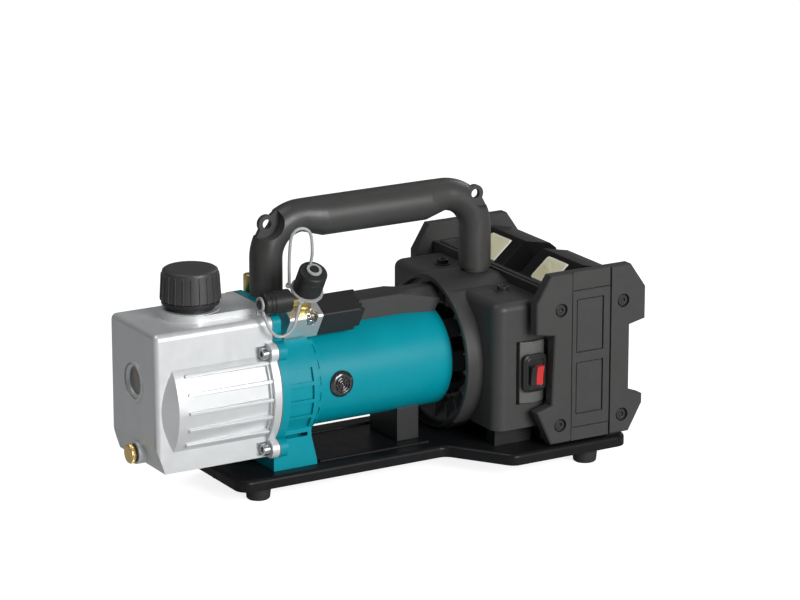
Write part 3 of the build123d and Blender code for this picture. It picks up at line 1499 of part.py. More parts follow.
# ---------------------------------------------------------------- the whole pump
NODES = {
    "oil_tank": oil_tank, "tank_gasket": tank_gasket, "tank_screws": tank_screws,
    "oil_cap": oil_cap, "exhaust_filter": exhaust_filter, "oil_seals": oil_seals,
    "sight_glass": sight_glass, "drain_plug": drain_plug, "pump_cylinder": pump_cylinder,
    "pump_front_plate": pump_front_plate, "pump_bolts": pump_bolts, "pump_rotor": pump_rotor,
    "pump_vanes": pump_vanes, "exhaust_valve": exhaust_valve, "motor_bracket": motor_bracket,
    "shaft_seal": shaft_seal, "motor_housing": motor_housing, "vent_cap": vent_cap,
    "motor_stator": motor_stator, "stator_windings": stator_windings,
    "motor_rotor": motor_rotor, "motor_shaft": motor_shaft, "cooling_fan": cooling_fan,
    "motor_end_bell": motor_end_bell, "valve_block": valve_block, "block_screw": block_screw,
    "solenoid_valve": solenoid_valve, "solenoid_plunger": solenoid_plunger,
    "brass_tee": brass_tee, "flare_cap_large": flare_cap_large,
    "flare_cap_small": flare_cap_small, "strap_rings": strap_rings,
    "tether_long": tether_long, "tether_short": tether_short,
    "ballast_valve": ballast_valve, "handle": handle, "handle_collar": handle_collar,
    "handle_bolts": handle_bolts, "rear_housing": rear_housing,
    "air_inlet_ring": air_inlet_ring,
    "top_cover": top_cover, "controller_board": controller_board,
    "switch_plate": switch_plate, "power_switch": power_switch, "power_rocker": power_rocker,
    "battery_cradle": battery_cradle, "battery_terminals": battery_terminals,
    "case_screws": case_screws, "base_tray": base_tray, "rubber_feet": rubber_feet,
    "foot_screws": foot_screws, "motor_support": motor_support,
}

for name, make in NODES.items():
    made = make()
    save(name, *(made if isinstance(made, list) else [made]))

save("front_bearing", bearing(x_ring + 2, front_bearing_length, front_bearing_radius))
save("rear_bearing", bearing(rear_bearing_start, rear_bearing_length, rear_bearing_radius))
for side, label in ((-1, "near"), (1, "far")):
    save(f"battery_{label}", battery(side))
    save(f"battery_button_{label}", battery_button(side))
    save(f"guard_{label}", guard(side))
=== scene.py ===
"""Dressed model of a battery-driven HVAC vacuum pump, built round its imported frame.

Sizes are millimetres of the shared frame; a piece's mesh is turned into metres once, when the
piece is made. The straps' routes, the finishes' grain and the studio are in metres. Each
sub-assembly is a class whose fields are its driving sizes.
"""
from __future__ import annotations

import json
import logging
import math
from collections.abc import Iterable, Sequence
from dataclasses import dataclass, field
from enum import Enum

import bmesh
import bpy
from mathutils import Matrix, Vector

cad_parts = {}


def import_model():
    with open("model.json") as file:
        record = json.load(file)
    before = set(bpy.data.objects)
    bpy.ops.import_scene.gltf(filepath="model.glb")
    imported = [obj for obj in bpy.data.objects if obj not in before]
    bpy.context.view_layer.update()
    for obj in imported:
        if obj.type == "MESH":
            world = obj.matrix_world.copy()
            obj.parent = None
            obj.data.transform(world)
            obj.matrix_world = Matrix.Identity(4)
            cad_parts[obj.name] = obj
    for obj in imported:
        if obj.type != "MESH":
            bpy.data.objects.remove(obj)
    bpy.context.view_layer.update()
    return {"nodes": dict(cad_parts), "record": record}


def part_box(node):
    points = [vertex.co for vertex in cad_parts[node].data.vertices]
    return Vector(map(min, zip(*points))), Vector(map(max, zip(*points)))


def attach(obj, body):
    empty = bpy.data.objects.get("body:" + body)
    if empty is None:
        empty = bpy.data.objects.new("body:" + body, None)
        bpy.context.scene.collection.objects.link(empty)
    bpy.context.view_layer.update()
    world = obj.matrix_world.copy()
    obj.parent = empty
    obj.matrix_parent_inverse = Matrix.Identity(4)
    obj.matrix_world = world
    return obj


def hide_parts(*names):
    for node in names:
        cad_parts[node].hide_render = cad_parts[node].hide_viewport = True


LOG = logging.getLogger("pump")
MM = 0.001
Colour = tuple[float, float, float]
Point = tuple[float, float, float]


class Grain(Enum):
    """The kinds of fine surface structure that a finish can carry."""

    CAST = "cast"
    MOULDED = "moulded"
    MACHINED = "machined"
    POLISHED = "polished"
    RUBBER = "rubber"


class Axis(Enum):
    """Directions along which turned and drawn shapes are laid."""

    X = "x"
    NEAR = "near"
    Z = "z"

    def matrix(self) -> Matrix:
        """Return the turn that takes local Z to this direction."""
        angle, about = {Axis.X: (90.0, "Y"), Axis.NEAR: (90.0, "X"), Axis.Z: (0.0, "Z")}[self]
        return Matrix.Rotation(math.radians(angle), 4, about)


# ---------------------------------------------------------------- finishes
@dataclass(frozen=True)
class Finish:
    """One surface finish, made into a node material on demand.

    The scale is the grain's waves per metre; the tint is half the spread of the colour's shades.
    """

    name: str
    slot: str
    colour: Colour
    grain: Grain
    roughness: float = 0.45
    metallic: float = 0.0
    coat: float = 0.0
    tint: float = 0.06
    bump: float = 0.05
    scale: float = 900.0
    transmission: float = 0.0
    # painted_glow: emission that paints light onto a part which is no lamp, lifting how bright it
    # reads
    painted_glow: float = 0.0
    specular: float = 0.5

    def material(self) -> bpy.types.Material:
        """Return this finish's node material, building it the first time."""
        found = bpy.data.materials.get(self.name)
        return found or FinishNodes(self).build()


class FinishNodes:
    """Builds the node tree of one finish."""

    COAT_ROUGHNESS = 0.08
    BUMP_DISTANCE = 0.0004
    BRUSHED = (1, 0.06, 0.06)
    COLOUR_CLOUDS = 0.03
    ROUGH_CLOUDS = 0.05
    ROUGH_SWING = 0.14

    def __init__(self, finish: Finish) -> None:
        """Start an empty material.

        Args:
            finish: The finish to build.
        """
        self.finish = finish
        self.material = bpy.data.materials.new(finish.name)
        self.material.use_nodes = True
        self.tree = self.material.node_tree
        self.shader = self.tree.nodes["Principled BSDF"]
        self.spots = self.tree.nodes.new("ShaderNodeTexCoord").outputs["Object"]

    def noise(self, scale: float, detail: float = 3.0, rough: float = 0.5,
              stretch: Sequence[float] = (1, 1, 1)) -> bpy.types.NodeSocket:
        """Noise over the piece's own coordinates.

        Args:
            scale: Waves per metre.
            detail: Octaves.
            rough: Weight of the finer octaves.
            stretch: Factor on each axis.

        Returns:
            The noise's value socket.
        """
        mapping = self.tree.nodes.new("ShaderNodeMapping")
        mapping.inputs["Scale"].default_value = stretch
        self.tree.links.new(self.spots, mapping.inputs["Vector"])
        made = self.tree.nodes.new("ShaderNodeTexNoise")
        for key, value in (("Scale", scale), ("Detail", detail), ("Roughness", rough)):
            made.inputs[key].default_value = value
        self.tree.links.new(mapping.outputs[0], made.inputs["Vector"])
        return made.outputs["Fac"]

    def spread(self, value: bpy.types.NodeSocket, low: float, high: float,
               start: float = 0.3, stop: float = 0.7) -> bpy.types.NodeSocket:
        """Map a value from one span to another.

        Args:
            value: The socket to read.
            low: What the start becomes.
            high: What the stop becomes.
            start: Lower end of the value's span.
            stop: Upper end of the value's span.

        Returns:
            The mapped value's socket.
        """
        made = self.tree.nodes.new("ShaderNodeMapRange")
        for key, number in (("From Min", start), ("From Max", stop),
                            ("To Min", low), ("To Max", high)):
            made.inputs[key].default_value = number
        self.tree.links.new(value, made.inputs["Value"])
        return made.outputs["Result"]

    def build(self) -> bpy.types.Material:
        """Set the shader's plain inputs and add the three variations.

        Returns:
            The finished material.
        """
        look = self.finish
        inputs = self.shader.inputs
        for key, value in (("Metallic", look.metallic), ("Coat Weight", look.coat),
                           ("Transmission Weight", look.transmission),
                           ("Specular IOR Level", look.specular),
                           ("Coat Roughness", self.COAT_ROUGHNESS)):
            inputs[key].default_value = value
        # Painted glow: emission that brightens the part as if more light fell on it
        if look.painted_glow:
            inputs["Emission Color"].default_value = (*look.colour, 1)
            inputs["Emission Strength"].default_value = look.painted_glow
        self.colour_variation()
        self.roughness_variation()
        self.relief()
        return self.material

    def colour_variation(self) -> None:
        """Mix two near shades of the colour with a broad and a fine noise."""
        look = self.finish
        mix = self.tree.nodes.new("ShaderNodeMix")
        mix.data_type = "RGBA"
        for key, factor in (("A", 1 - look.tint), ("B", 1 + look.tint)):
            shade = tuple(min(1.0, value * factor) for value in look.colour)
            next(i for i in mix.inputs if i.name == key and i.type == "RGBA"
                 ).default_value = (*shade, 1)
        cloud = self.noise(look.scale * self.COLOUR_CLOUDS, 5, 0.62)
        self.tree.links.new(self.spread(cloud, 0, 1), mix.inputs[0])
        out = next(o for o in mix.outputs if o.type == "RGBA")
        self.tree.links.new(out, self.shader.inputs["Base Color"])

    def roughness_variation(self) -> None:
        """Let the roughness wander in broad clouds, as handled surfaces do."""
        look = self.finish
        cloud = self.noise(look.scale * self.ROUGH_CLOUDS, 4)
        rough = self.spread(cloud, look.roughness * (1 - self.ROUGH_SWING),
                            min(1, look.roughness * (1 + self.ROUGH_SWING)))
        self.tree.links.new(rough, self.shader.inputs["Roughness"])

    def relief(self) -> None:
        """Add the fine bump of the finish's grain."""
        look = self.finish
        stretch = self.BRUSHED if look.grain is Grain.MACHINED else (1, 1, 1)
        height = self.noise(look.scale, 5 if look.grain is Grain.CAST else 2, 0.55, stretch)
        bump = self.tree.nodes.new("ShaderNodeBump")
        bump.inputs["Strength"].default_value = look.bump
        bump.inputs["Distance"].default_value = self.BUMP_DISTANCE
        self.tree.links.new(height, bump.inputs["Height"])
        self.tree.links.new(bump.outputs[0], self.shader.inputs["Normal"])


SILVER = Finish("silver_paint_cast", "silver_casting", (0.72, 0.735, 0.745), Grain.CAST,
                roughness=0.42, metallic=0.45, coat=0.1, tint=0.02, bump=0.08, scale=2600)
TEAL = Finish("teal_enamel", "teal_paint", (0.0, 0.285, 0.355), Grain.CAST, roughness=0.36,
              coat=0.05, tint=0.03, bump=0.03, scale=1500, specular=0.22)
CHARCOAL = Finish("charcoal_moulding", "charcoal_plastic", (0.050, 0.050, 0.049), Grain.MOULDED,
                  roughness=0.44, tint=0.05, bump=0.16, scale=3200, specular=0.35)
HANDLE_SATIN = Finish("handle_moulding", "handle_plastic", (0.050, 0.049, 0.048), Grain.MOULDED,
                      roughness=0.4, bump=0.14, scale=3200)
BLACK = Finish("black_moulding", "black_plastic", (0.024, 0.024, 0.024), Grain.MOULDED,
               roughness=0.38, bump=0.1, scale=3200, specular=0.3)
CAP = Finish("cap_moulding", "black_plastic", (0.050, 0.050, 0.050), Grain.MOULDED, roughness=0.4,
             bump=0.1, scale=3200)
GLOSS = Finish("battery_gloss", "battery_plastic", (0.004, 0.004, 0.0045), Grain.POLISHED,
               roughness=0.2, tint=0.05, bump=0.01, scale=700, specular=0.32)
# The latch's painted glow makes the cream read brighter than the lamps alone make it
CREAM = Finish("latch_cream", "button_plastic", (0.92, 0.90, 0.74), Grain.MOULDED, roughness=0.36,
               tint=0.03, scale=3000, painted_glow=0.07)
# The rocker lens carries a faint painted glow, emission that brightens the red as painted light
RED = Finish("rocker_lens", "rocker_red", (0.56, 0.022, 0.022), Grain.POLISHED, roughness=0.16,
             coat=0.4, tint=0.05, bump=0.01, painted_glow=0.03)
TRAY = Finish("tray_powder", "black_steel", (0.010, 0.010, 0.011), Grain.CAST, roughness=0.36,
              tint=0.04, bump=0.03, scale=2400, specular=0.18)
RUBBER = Finish("foot_rubber", "rubber_black", (0.024, 0.024, 0.024), Grain.RUBBER, roughness=0.6,
                tint=0.08, bump=0.15, scale=2200)
SADDLE = Finish("saddle_paint", "motor_saddle", (0.036, 0.036, 0.037), Grain.CAST, roughness=0.4,
                metallic=0.2, tint=0.05, bump=0.1, scale=2400)
ALUMINIUM = Finish("block_aluminium", "valve_aluminium", (0.74, 0.75, 0.74), Grain.MACHINED,
                   roughness=0.34, metallic=0.75, tint=0.04, scale=2600)
BRASS = Finish("fitting_brass", "brass", (0.80, 0.60, 0.26), Grain.MACHINED, roughness=0.34,
               metallic=1.0, scale=2600)
STEEL = Finish("screw_steel", "steel_bright", (0.60, 0.61, 0.62), Grain.MACHINED, roughness=0.24,
               metallic=1.0, tint=0.05, bump=0.04, scale=3000)
DARK_STEEL = Finish("screw_black_oxide", "steel_dark", (0.045, 0.045, 0.047), Grain.MACHINED,
                    roughness=0.3, metallic=0.4, scale=3000)
GUNMETAL = Finish("vent_gunmetal", "steel_dark", (0.11, 0.11, 0.11), Grain.POLISHED, roughness=0.2,
                  metallic=0.85, coat=0.2, bump=0.02, scale=1200)
# Shaded copy of the teal, painting the shade inside the vent's small holes
TEAL_PAINTED_SHADE = Finish("teal_shadow", "teal_paint", (0.0, 0.10, 0.13), Grain.CAST, roughness=0.4,
                   coat=0.1, tint=0.03, bump=0.03, scale=1500)
PLATE = Finish("switch_plate_satin", "charcoal_plastic", (0.105, 0.105, 0.100), Grain.MOULDED,
               roughness=0.36, tint=0.05, bump=0.1, scale=3200)
CRADLE = Finish("cradle_moulding", "charcoal_plastic", (0.035, 0.035, 0.036), Grain.MOULDED,
                roughness=0.38, tint=0.05, bump=0.12, scale=3200)
GROUND = Finish("ground_steel", "steel_ground", (0.45, 0.45, 0.46), Grain.MACHINED, roughness=0.32,
                metallic=1.0, tint=0.05, scale=2600)
IRON = Finish("pump_iron", "pump_iron", (0.25, 0.25, 0.26), Grain.CAST, roughness=0.5,
              metallic=0.7, bump=0.12, scale=2600)
VANE = Finish("vane_composite", "vane_composite", (0.15, 0.10, 0.06), Grain.MOULDED, roughness=0.5)
COPPER = Finish("winding_copper", "winding_copper", (0.70, 0.30, 0.13), Grain.MACHINED,
                roughness=0.35, metallic=1.0, tint=0.1, bump=0.25, scale=1500)
GLASS = Finish("sight_window", "sight_window", (0.16, 0.15, 0.145), Grain.POLISHED, roughness=0.1,
               coat=0.6, tint=0.2, bump=0.0)
STRAP = Finish("strap_soft", "strap_clear", (0.56, 0.58, 0.58), Grain.POLISHED, roughness=0.32,
               tint=0.03, bump=0.02, scale=1500, transmission=0.35)
GASKET = Finish("gasket_sheet", "gasket_black", (0.10, 0.11, 0.11), Grain.RUBBER, roughness=0.6)
BOARD = Finish("board_mask", "board_green", (0.03, 0.16, 0.07), Grain.POLISHED, roughness=0.3)
# Near black that paints shade: on the casing's legs under the housing and on the switch body
# behind the bezel
SHADE_BLACK = Finish("painted_shade_black", "black_plastic", (0.006, 0.006, 0.006), Grain.MOULDED,
                roughness=0.55, bump=0.1, scale=3200)
# Mid grey that paints light onto the air inlet's dark moulding, so its fins read lit where the
# lamps hardly reach
INLET_PAINTED_LIGHT = Finish("inlet_painted_light", "black_plastic", (0.15, 0.15, 0.147), Grain.MOULDED,
               roughness=0.36, tint=0.05, bump=0.1, scale=3200)
FINISHES = {f.slot: f for f in (SILVER, TEAL, CHARCOAL, HANDLE_SATIN, BLACK, GLOSS, CREAM, RED,
                                TRAY, RUBBER, SADDLE, ALUMINIUM, BRASS, STEEL, DARK_STEEL,
                                GROUND, IRON, VANE, COPPER, GLASS, STRAP, GASKET, BOARD)}


# ---------------------------------------------------------------- shapes
def round_rect(half_width: float, half_height: float, radius: float,
               steps: int = 6) -> list[tuple[float, float]]:
    """Outline of a rectangle with round corners, anticlockwise from its right side.

    Args:
        half_width: Half its width.
        half_height: Half its height.
        radius: Radius of the corners.
        steps: Facets of each corner.

    Returns:
        The outline's points.
    """
    outline = []
    for quarter, (sx, sy) in enumerate(((1, 1), (-1, 1), (-1, -1), (1, -1))):
        for step in range(steps + 1):
            angle = math.radians(90 * (quarter + step / steps))
            outline.append((sx * (half_width - radius) + radius * math.cos(angle),
                            sy * (half_height - radius) + radius * math.sin(angle)))
    return outline


def ring(half_width: float, half_height: float, radius: float, level: float) -> list[Point]:
    """Return a round-cornered ring at a level of local Z."""
    return [(x, y, level) for x, y in round_rect(half_width, half_height, radius)]


def turns(count: int, start: float = 0.0) -> list[Matrix]:
    """Return equal turns about local Z, the first one at a share of a step."""
    return [Matrix.Rotation(math.tau * (index + start) / count, 4, "Z") for index in range(count)]


def place(origin: Point, axis: Axis = Axis.Z) -> Matrix:
    """Return the matrix that lays local Z along an axis from an origin."""
    return Matrix.Translation(origin) @ axis.matrix()


class Shape:
    """A surface under construction, in millimetres of the frame."""

    SEAM = 0.001
    DOUBLES = 0.002
    FLAT_TURN = 0.6
    ROUND_SEGMENTS = 3

    def __init__(self, node: str | None = None) -> None:
        """Start empty, or from a CAD node with its doubles merged and its flats joined.

        Args:
            node: The CAD node whose surface is copied.
        """
        self.bm = bmesh.new()
        if node:
            bm = self.bm
            bm.from_mesh(bpy.data.objects[node].data)
            bmesh.ops.scale(bm, vec=(1 / MM,) * 3, verts=bm.verts[:])
            bmesh.ops.remove_doubles(bm, verts=bm.verts[:], dist=self.DOUBLES)
            bmesh.ops.dissolve_limit(bm, angle_limit=math.radians(self.FLAT_TURN),
                                     verts=bm.verts[:], edges=bm.edges[:])

    def moved(self, verts: Iterable[bmesh.types.BMVert], matrix: Matrix) -> None:
        """Put freshly made vertices in their place."""
        bmesh.ops.transform(self.bm, matrix=matrix, verts=list(verts))

    def settled(self, old: set[bmesh.types.BMVert], matrix: Matrix) -> Shape:
        """Turn freshly made faces outwards and put them in their place.

        Args:
            old: The vertices that were there before.
            matrix: Where local Z goes.

        Returns:
            This shape.
        """
        new = [vert for vert in self.bm.verts if vert not in old]
        faces = {face for vert in new for face in vert.link_faces}
        bmesh.ops.recalc_face_normals(self.bm, faces=list(faces))
        self.moved(new, matrix)
        return self

    def lathe(self, profile: Sequence[tuple[float, float]], matrix: Matrix,
              steps: int = 72) -> Shape:
        """Spin a profile round local Z.

        Args:
            profile: Points of (radius, height); a closed solid starts and ends on the axis.
            matrix: Where local Z goes.
            steps: Facets of the full turn.

        Returns:
            This shape.
        """
        bm = self.bm
        old = set(bm.verts)
        line = [bm.verts.new((radius, 0, height)) for radius, height in profile]
        edges = [bm.edges.new(pair) for pair in zip(line, line[1:])]
        bmesh.ops.spin(bm, geom=line + edges, cent=(0, 0, 0), axis=(0, 0, 1),
                       angle=math.tau, steps=steps, use_merge=True)
        made = [vert for vert in bm.verts if vert not in old]
        bmesh.ops.remove_doubles(bm, verts=made, dist=self.SEAM)
        return self.settled(old, matrix)

    def prism(self, outline: Sequence[tuple[float, float]], depth: float,
              matrix: Matrix) -> Shape:
        """Draw a local XY outline out along local Z.

        Args:
            outline: Points of the closed outline.
            depth: How far it is drawn out.
            matrix: Where local Z goes.

        Returns:
            This shape.
        """
        bm = self.bm
        old = set(bm.verts)
        base = bm.faces.new([bm.verts.new((x, y, 0)) for x, y in outline])
        made = bmesh.ops.extrude_face_region(bm, geom=[base])["geom"]
        top = [item for item in made if isinstance(item, bmesh.types.BMVert)]
        bmesh.ops.translate(bm, vec=(0, 0, depth), verts=top)
        return self.settled(old, matrix)

    def lofted(self, rings: Sequence[Sequence[Point]], matrix: Matrix) -> Shape:
        """Bridge rings of equal count one after another and cap both ends.

        Args:
            rings: The rings, each a closed round of points.
            matrix: Where local Z goes.

        Returns:
            This shape.
        """
        bm = self.bm
        old = set(bm.verts)
        loops = []
        for points in rings:
            verts = [bm.verts.new(point) for point in points]
            loops.append([bm.edges.new(pair) for pair in zip(verts, verts[1:] + verts[:1])])
        for lower, upper in zip(loops, loops[1:]):
            bmesh.ops.bridge_loops(bm, edges=lower + upper)
        for loop in (loops[0], loops[-1]):
            bmesh.ops.edgeloop_fill(bm, edges=loop)
        return self.settled(old, matrix)

    def piece(self, name: str, body: str, finish: Finish, *stands_for: str,
              edge: float = 0.0, angle: float = 32.0) -> bpy.types.Object:
        """Finish the shape as a piece that rides on a body.

        Args:
            name: The piece's name.
            body: The body that it moves with.
            finish: Its finish.
            stands_for: The CAD nodes that it replaces.
            edge: How far its sharp edges are rounded.
            angle: The least turn, in degrees, that counts as a sharp edge.

        Returns:
            The new object.
        """
        bmesh.ops.scale(self.bm, vec=(MM,) * 3, verts=self.bm.verts[:])
        mesh = bpy.data.meshes.new(name)
        self.bm.to_mesh(mesh)
        self.bm.free()
        mesh.materials.append(finish.material())
        for face in mesh.polygons:
            face.use_smooth = True
        ob = bpy.data.objects.new(name, mesh)
        bpy.context.scene.collection.objects.link(ob)
        if edge:
            bevel = ob.modifiers.new("round", "BEVEL")
            bevel.width, bevel.segments = edge * MM, self.ROUND_SEGMENTS
            bevel.limit_method, bevel.angle_limit = "ANGLE", math.radians(angle)
        normal = ob.modifiers.new("even", "WEIGHTED_NORMAL")
        normal.keep_sharp = True
        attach(ob, body)
        if stands_for:
            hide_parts(*stands_for)
        LOG.info("%s rides on %s with %d faces", name, body, len(mesh.polygons))
        return ob


@dataclass(frozen=True)
class Box:
    """A CAD node's box in millimetres."""

    low: Vector
    high: Vector

    @property
    def mid(self) -> Vector:
        """Centre of the box."""
        return (self.low + self.high) / 2

    @property
    def size(self) -> Vector:
        """Edge lengths of the box."""
        return self.high - self.low


def box_of(node: str) -> Box:
    """Return a CAD node's box at rest."""
    low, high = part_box(node)
    return Box(low / MM, high / MM)


def soften(node: str, body: str, finish: Finish, edge: float) -> bpy.types.Object:
    """Replace a CAD node by its own surface with rounded edges."""
    return Shape(node).piece("soft_" + node, body, finish, node, edge=edge)


# ---------------------------------------------------------------- cords
@dataclass
class Tethers:
    """The two soft straps that keep the flare caps, laid as round tubes along curves from ring to
    eye.
    """

    diameter: float = 0.0022
    long_route: tuple[Point, ...] = (
        (-0.0639, -0.0456, 0.1710), (-0.0639, -0.0484, 0.1776), (-0.0648, -0.0499, 0.1848),
        (-0.0654, -0.0502, 0.1916), (-0.0671, -0.0501, 0.1960), (-0.0710, -0.0496, 0.1985),
        (-0.0756, -0.0488, 0.1982), (-0.0790, -0.0480, 0.1952), (-0.0801, -0.0469, 0.1906),
        (-0.0799, -0.0452, 0.1833), (-0.0790, -0.0428, 0.1758), (-0.0777, -0.0399, 0.1683),
        (-0.0758, -0.0366, 0.1612), (-0.0743, -0.0334, 0.1544))
    short_route: tuple[Point, ...] = (
        (-0.0722, -0.0458, 0.1445), (-0.0742, -0.0464, 0.1392), (-0.0755, -0.0463, 0.1334),
        (-0.0772, -0.0458, 0.1278), (-0.0808, -0.0452, 0.1232), (-0.0861, -0.0447, 0.1211),
        (-0.0915, -0.0444, 0.1227), (-0.0953, -0.0439, 0.1274), (-0.0975, -0.0423, 0.1336),
        (-0.0978, -0.0386, 0.1394))
    long_length: float = 0.0835
    short_length: float = 0.0537
    steps_round: int = 6
    steps_along: int = 16

    def strand(self, name: str, route: Sequence[Point], node: str) -> None:
        """Args:
            name: The strap's name.
            route: Its control points, from the ring to the cap's eye.
            node: The CAD node that it replaces.
        """
        data = bpy.data.curves.new(name, "CURVE")
        data.dimensions = "3D"
        data.bevel_depth = self.diameter / 2
        data.bevel_resolution = self.steps_round
        data.resolution_u = self.steps_along
        data.use_fill_caps = True
        spline = data.splines.new("NURBS")
        spline.points.add(len(route) - 1)
        for point, spot in zip(spline.points, route):
            point.co = (*spot, 1.0)
        spline.order_u = 3
        spline.use_endpoint_u = True
        data.materials.append(STRAP.material())
        ob = bpy.data.objects.new(name, data)
        bpy.context.scene.collection.objects.link(ob)
        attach(ob, "frame")
        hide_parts(node)

    def build(self) -> None:
        """Lay both straps."""
        self.strand("strap_long", self.long_route, "tether_long")
        self.strand("strap_short", self.short_route, "tether_short")


# ---------------------------------------------------------------- oil tank
@dataclass
class OilTank:
    """Silver oil tank with its belly ribs, filler cap, sight glass, drain plug and screws."""

    cap_panels: int = 22
    cap_flare: float = 1.1
    cap_bore: float = 17.6
    panel_sink: float = 0.7
    grip_depth: float = 1.4
    grip_width: float = 1.0
    shoulder: float = 3.4
    arrow_sink: float = 0.35
    glass_dome: float = 0.5
    knob_teeth: int = 30
    tooth_height: float = 0.35
    stem_radius: float = 4.0
    belly_ribs: int = 5
    belly_pitch: float = 16.0
    belly_reach: float = 66.0
    belly_root: float = 45.0
    belly_rise: float = 2.9
    rib_half_width: float = 1.25
    flange_room: float = 5.0

    def cap(self) -> None:
        """Flared cap with flat panels between thin ribs and a small arrow on top."""
        box = box_of("oil_cap")
        radius, low, high = box.size.x / 2, box.low.z, box.high.z
        top_radius = radius - self.cap_flare
        at = place((box.mid.x, box.mid.y, 0))
        panel, depth = self.panel_sink, self.grip_depth
        shape = Shape()
        shape.lathe([(0, low + 8), (self.cap_bore - 0.4, low + 8), (self.cap_bore, low),
                     (radius - panel - 0.3, low),
                     (radius - panel, low + 0.4), (top_radius - panel, high - self.shoulder),
                     (top_radius - 1.2, high - 1.4), (top_radius - 2.6, high - 0.5),
                     (top_radius - 5.0, high), (0, high - 0.25)], at, 88)
        reach = high - self.shoulder - low
        lean = math.atan2(self.cap_flare, reach)
        outline = [(-depth, 0.0), (0.0, 0.0), (0.0, reach - 0.8), (-0.8, reach), (-depth, reach)]
        for turn in turns(self.cap_panels):
            lay = (at @ turn @ Matrix.Translation((radius, self.grip_width / 2, low))
                   @ Matrix.Rotation(-lean, 4, "Y") @ Matrix.Rotation(math.pi / 2, 4, "X"))
            shape.prism(outline, self.grip_width, lay)
        shape.piece("filler_cap", "oil_cap", CAP, "oil_cap", edge=0.25)
        arrow = Shape()
        arrow.prism([(-3.4, 2.2), (0, -2.8), (3.4, 2.2), (2.2, 2.2), (0, -1.0), (-2.2, 2.2)],
                    self.arrow_sink, place((box.mid.x, box.mid.y - 6, high - self.arrow_sink)))
        arrow.piece("filler_cap_arrow", "oil_cap", CAP, edge=0.1)

    def sight(self) -> None:
        """Recessed bezel and a slightly domed dark glass."""
        box = box_of("sight_glass")
        radius = box.size.y / 2
        at = place((box.low.x, box.mid.y, box.mid.z), Axis.X)
        rim = Shape()
        rim.lathe([(radius - 0.1, 0.4), (radius - 0.1, -2.2), (radius - 1.0, -2.6),
                   (radius - 2.6, -1.0), (radius - 3.0, 0.4), (radius - 0.1, 0.4)], at, 72)
        rim.piece("sight_rim", "frame", SILVER)
        glass = Shape()
        glass.lathe([(0, 2.4), (radius - 0.2, 2.4), (radius - 0.2, 0.0), (radius - 3.0, -0.1),
                     (radius * 0.45, -self.glass_dome), (0, -self.glass_dome - 0.1)], at, 72)
        glass.piece("sight_lens", "frame", GLASS, "sight_glass")

    def drain(self) -> None:
        """Knurled brass drain knob with a slightly dished face."""
        box = box_of("drain_plug")
        radius, stem = box.size.y / 2, self.stem_radius
        at = place((box.low.x, box.mid.y, box.mid.z), Axis.X)
        shape = Shape()
        inner = radius - self.tooth_height
        shape.lathe([(0, 0.35), (radius * 0.55, 0.3), (radius - 1.2, 0.0), (inner - 0.2, 0.3),
                     (inner, 0.8), (inner, 3.3), (inner - 0.5, 3.9), (stem, 3.9), (stem, 15.9),
                     (0, 15.9)], at, 60)
        tooth = [(inner - 0.5, -0.42), (inner, -0.42), (radius, -0.12), (radius, 0.12),
                 (inner, 0.42), (inner - 0.5, 0.42)]
        for turn in turns(self.knob_teeth):
            shape.prism(tooth, 2.4, at @ turn @ Matrix.Translation((0, 0, 0.9)))
        shape.piece("drain_knob", "drain_plug", BRASS, "drain_plug")

    def ribs(self) -> None:
        """Round-tipped ribs on both bellies, running back to the flange."""
        stop, centre = box_of("oil_tank").high.x - self.flange_room, box_of("motor_housing").mid
        half = self.rib_half_width
        tip = [(half - half * math.cos(math.radians(angle)), half * math.sin(math.radians(angle)))
               for angle in range(-90, 91, 18)]
        outline = [(self.belly_reach, -half), *tip, (self.belly_reach, half)]
        shape = Shape()
        for index in range(self.belly_ribs):
            lean = (index - (self.belly_ribs - 1) / 2) * self.belly_pitch
            for side in (90, -90):
                lay = (Matrix.Translation((stop - self.belly_reach, 0, centre.z))
                       @ Matrix.Rotation(math.radians(side + lean), 4, "X")
                       @ Matrix.Translation((0, 0, self.belly_root)))
                shape.prism(outline, self.belly_rise, lay)
        shape.piece("belly_ribs", "frame", SILVER, edge=0.45)

    def build(self) -> None:
        """Build the tank's pieces."""
        self.ribs()
        soften("oil_tank", "frame", SILVER, 1.5)
        soften("tank_screws", "frame", STEEL, 0.4)
        soften("exhaust_filter", "frame", BLACK, 0.4)
        self.cap()
        self.sight()
        self.drain()


# ---------------------------------------------------------------- intake
@dataclass
class Intake:
    """Tilted valve block with its coil, brass tee, flare caps and strap rings."""

    edge: float = 0.35

    def ballast(self) -> None:
        """Plain brass ballast knob with one fine groove, behind the handle."""
        box = box_of("ballast_valve")
        radius, low, high = box.size.x / 2, box.low.z, box.high.z
        shape = Shape()
        shape.lathe([(0, low), (radius, low), (radius, high - 2.6), (radius - 0.3, high - 2.4),
                     (radius - 0.3, high - 2.1), (radius, high - 1.9), (radius, high - 0.6),
                     (radius - 0.6, high), (0, high)], place((box.mid.x, box.mid.y, 0)), 56)
        shape.piece("ballast_knob", "ballast", BRASS, "ballast_valve")

    def build(self) -> None:
        """Build the intake's pieces."""
        soften("valve_block", "frame", ALUMINIUM, self.edge)
        soften("block_screw", "frame", STEEL, self.edge)
        soften("solenoid_valve", "frame", BLACK, self.edge)
        soften("brass_tee", "frame", BRASS, self.edge)
        soften("flare_cap_large", "large_cap", BLACK, 0.5)
        soften("flare_cap_small", "small_cap", BLACK, 0.5)
        soften("strap_rings", "frame", STRAP, self.edge)
        self.ballast()


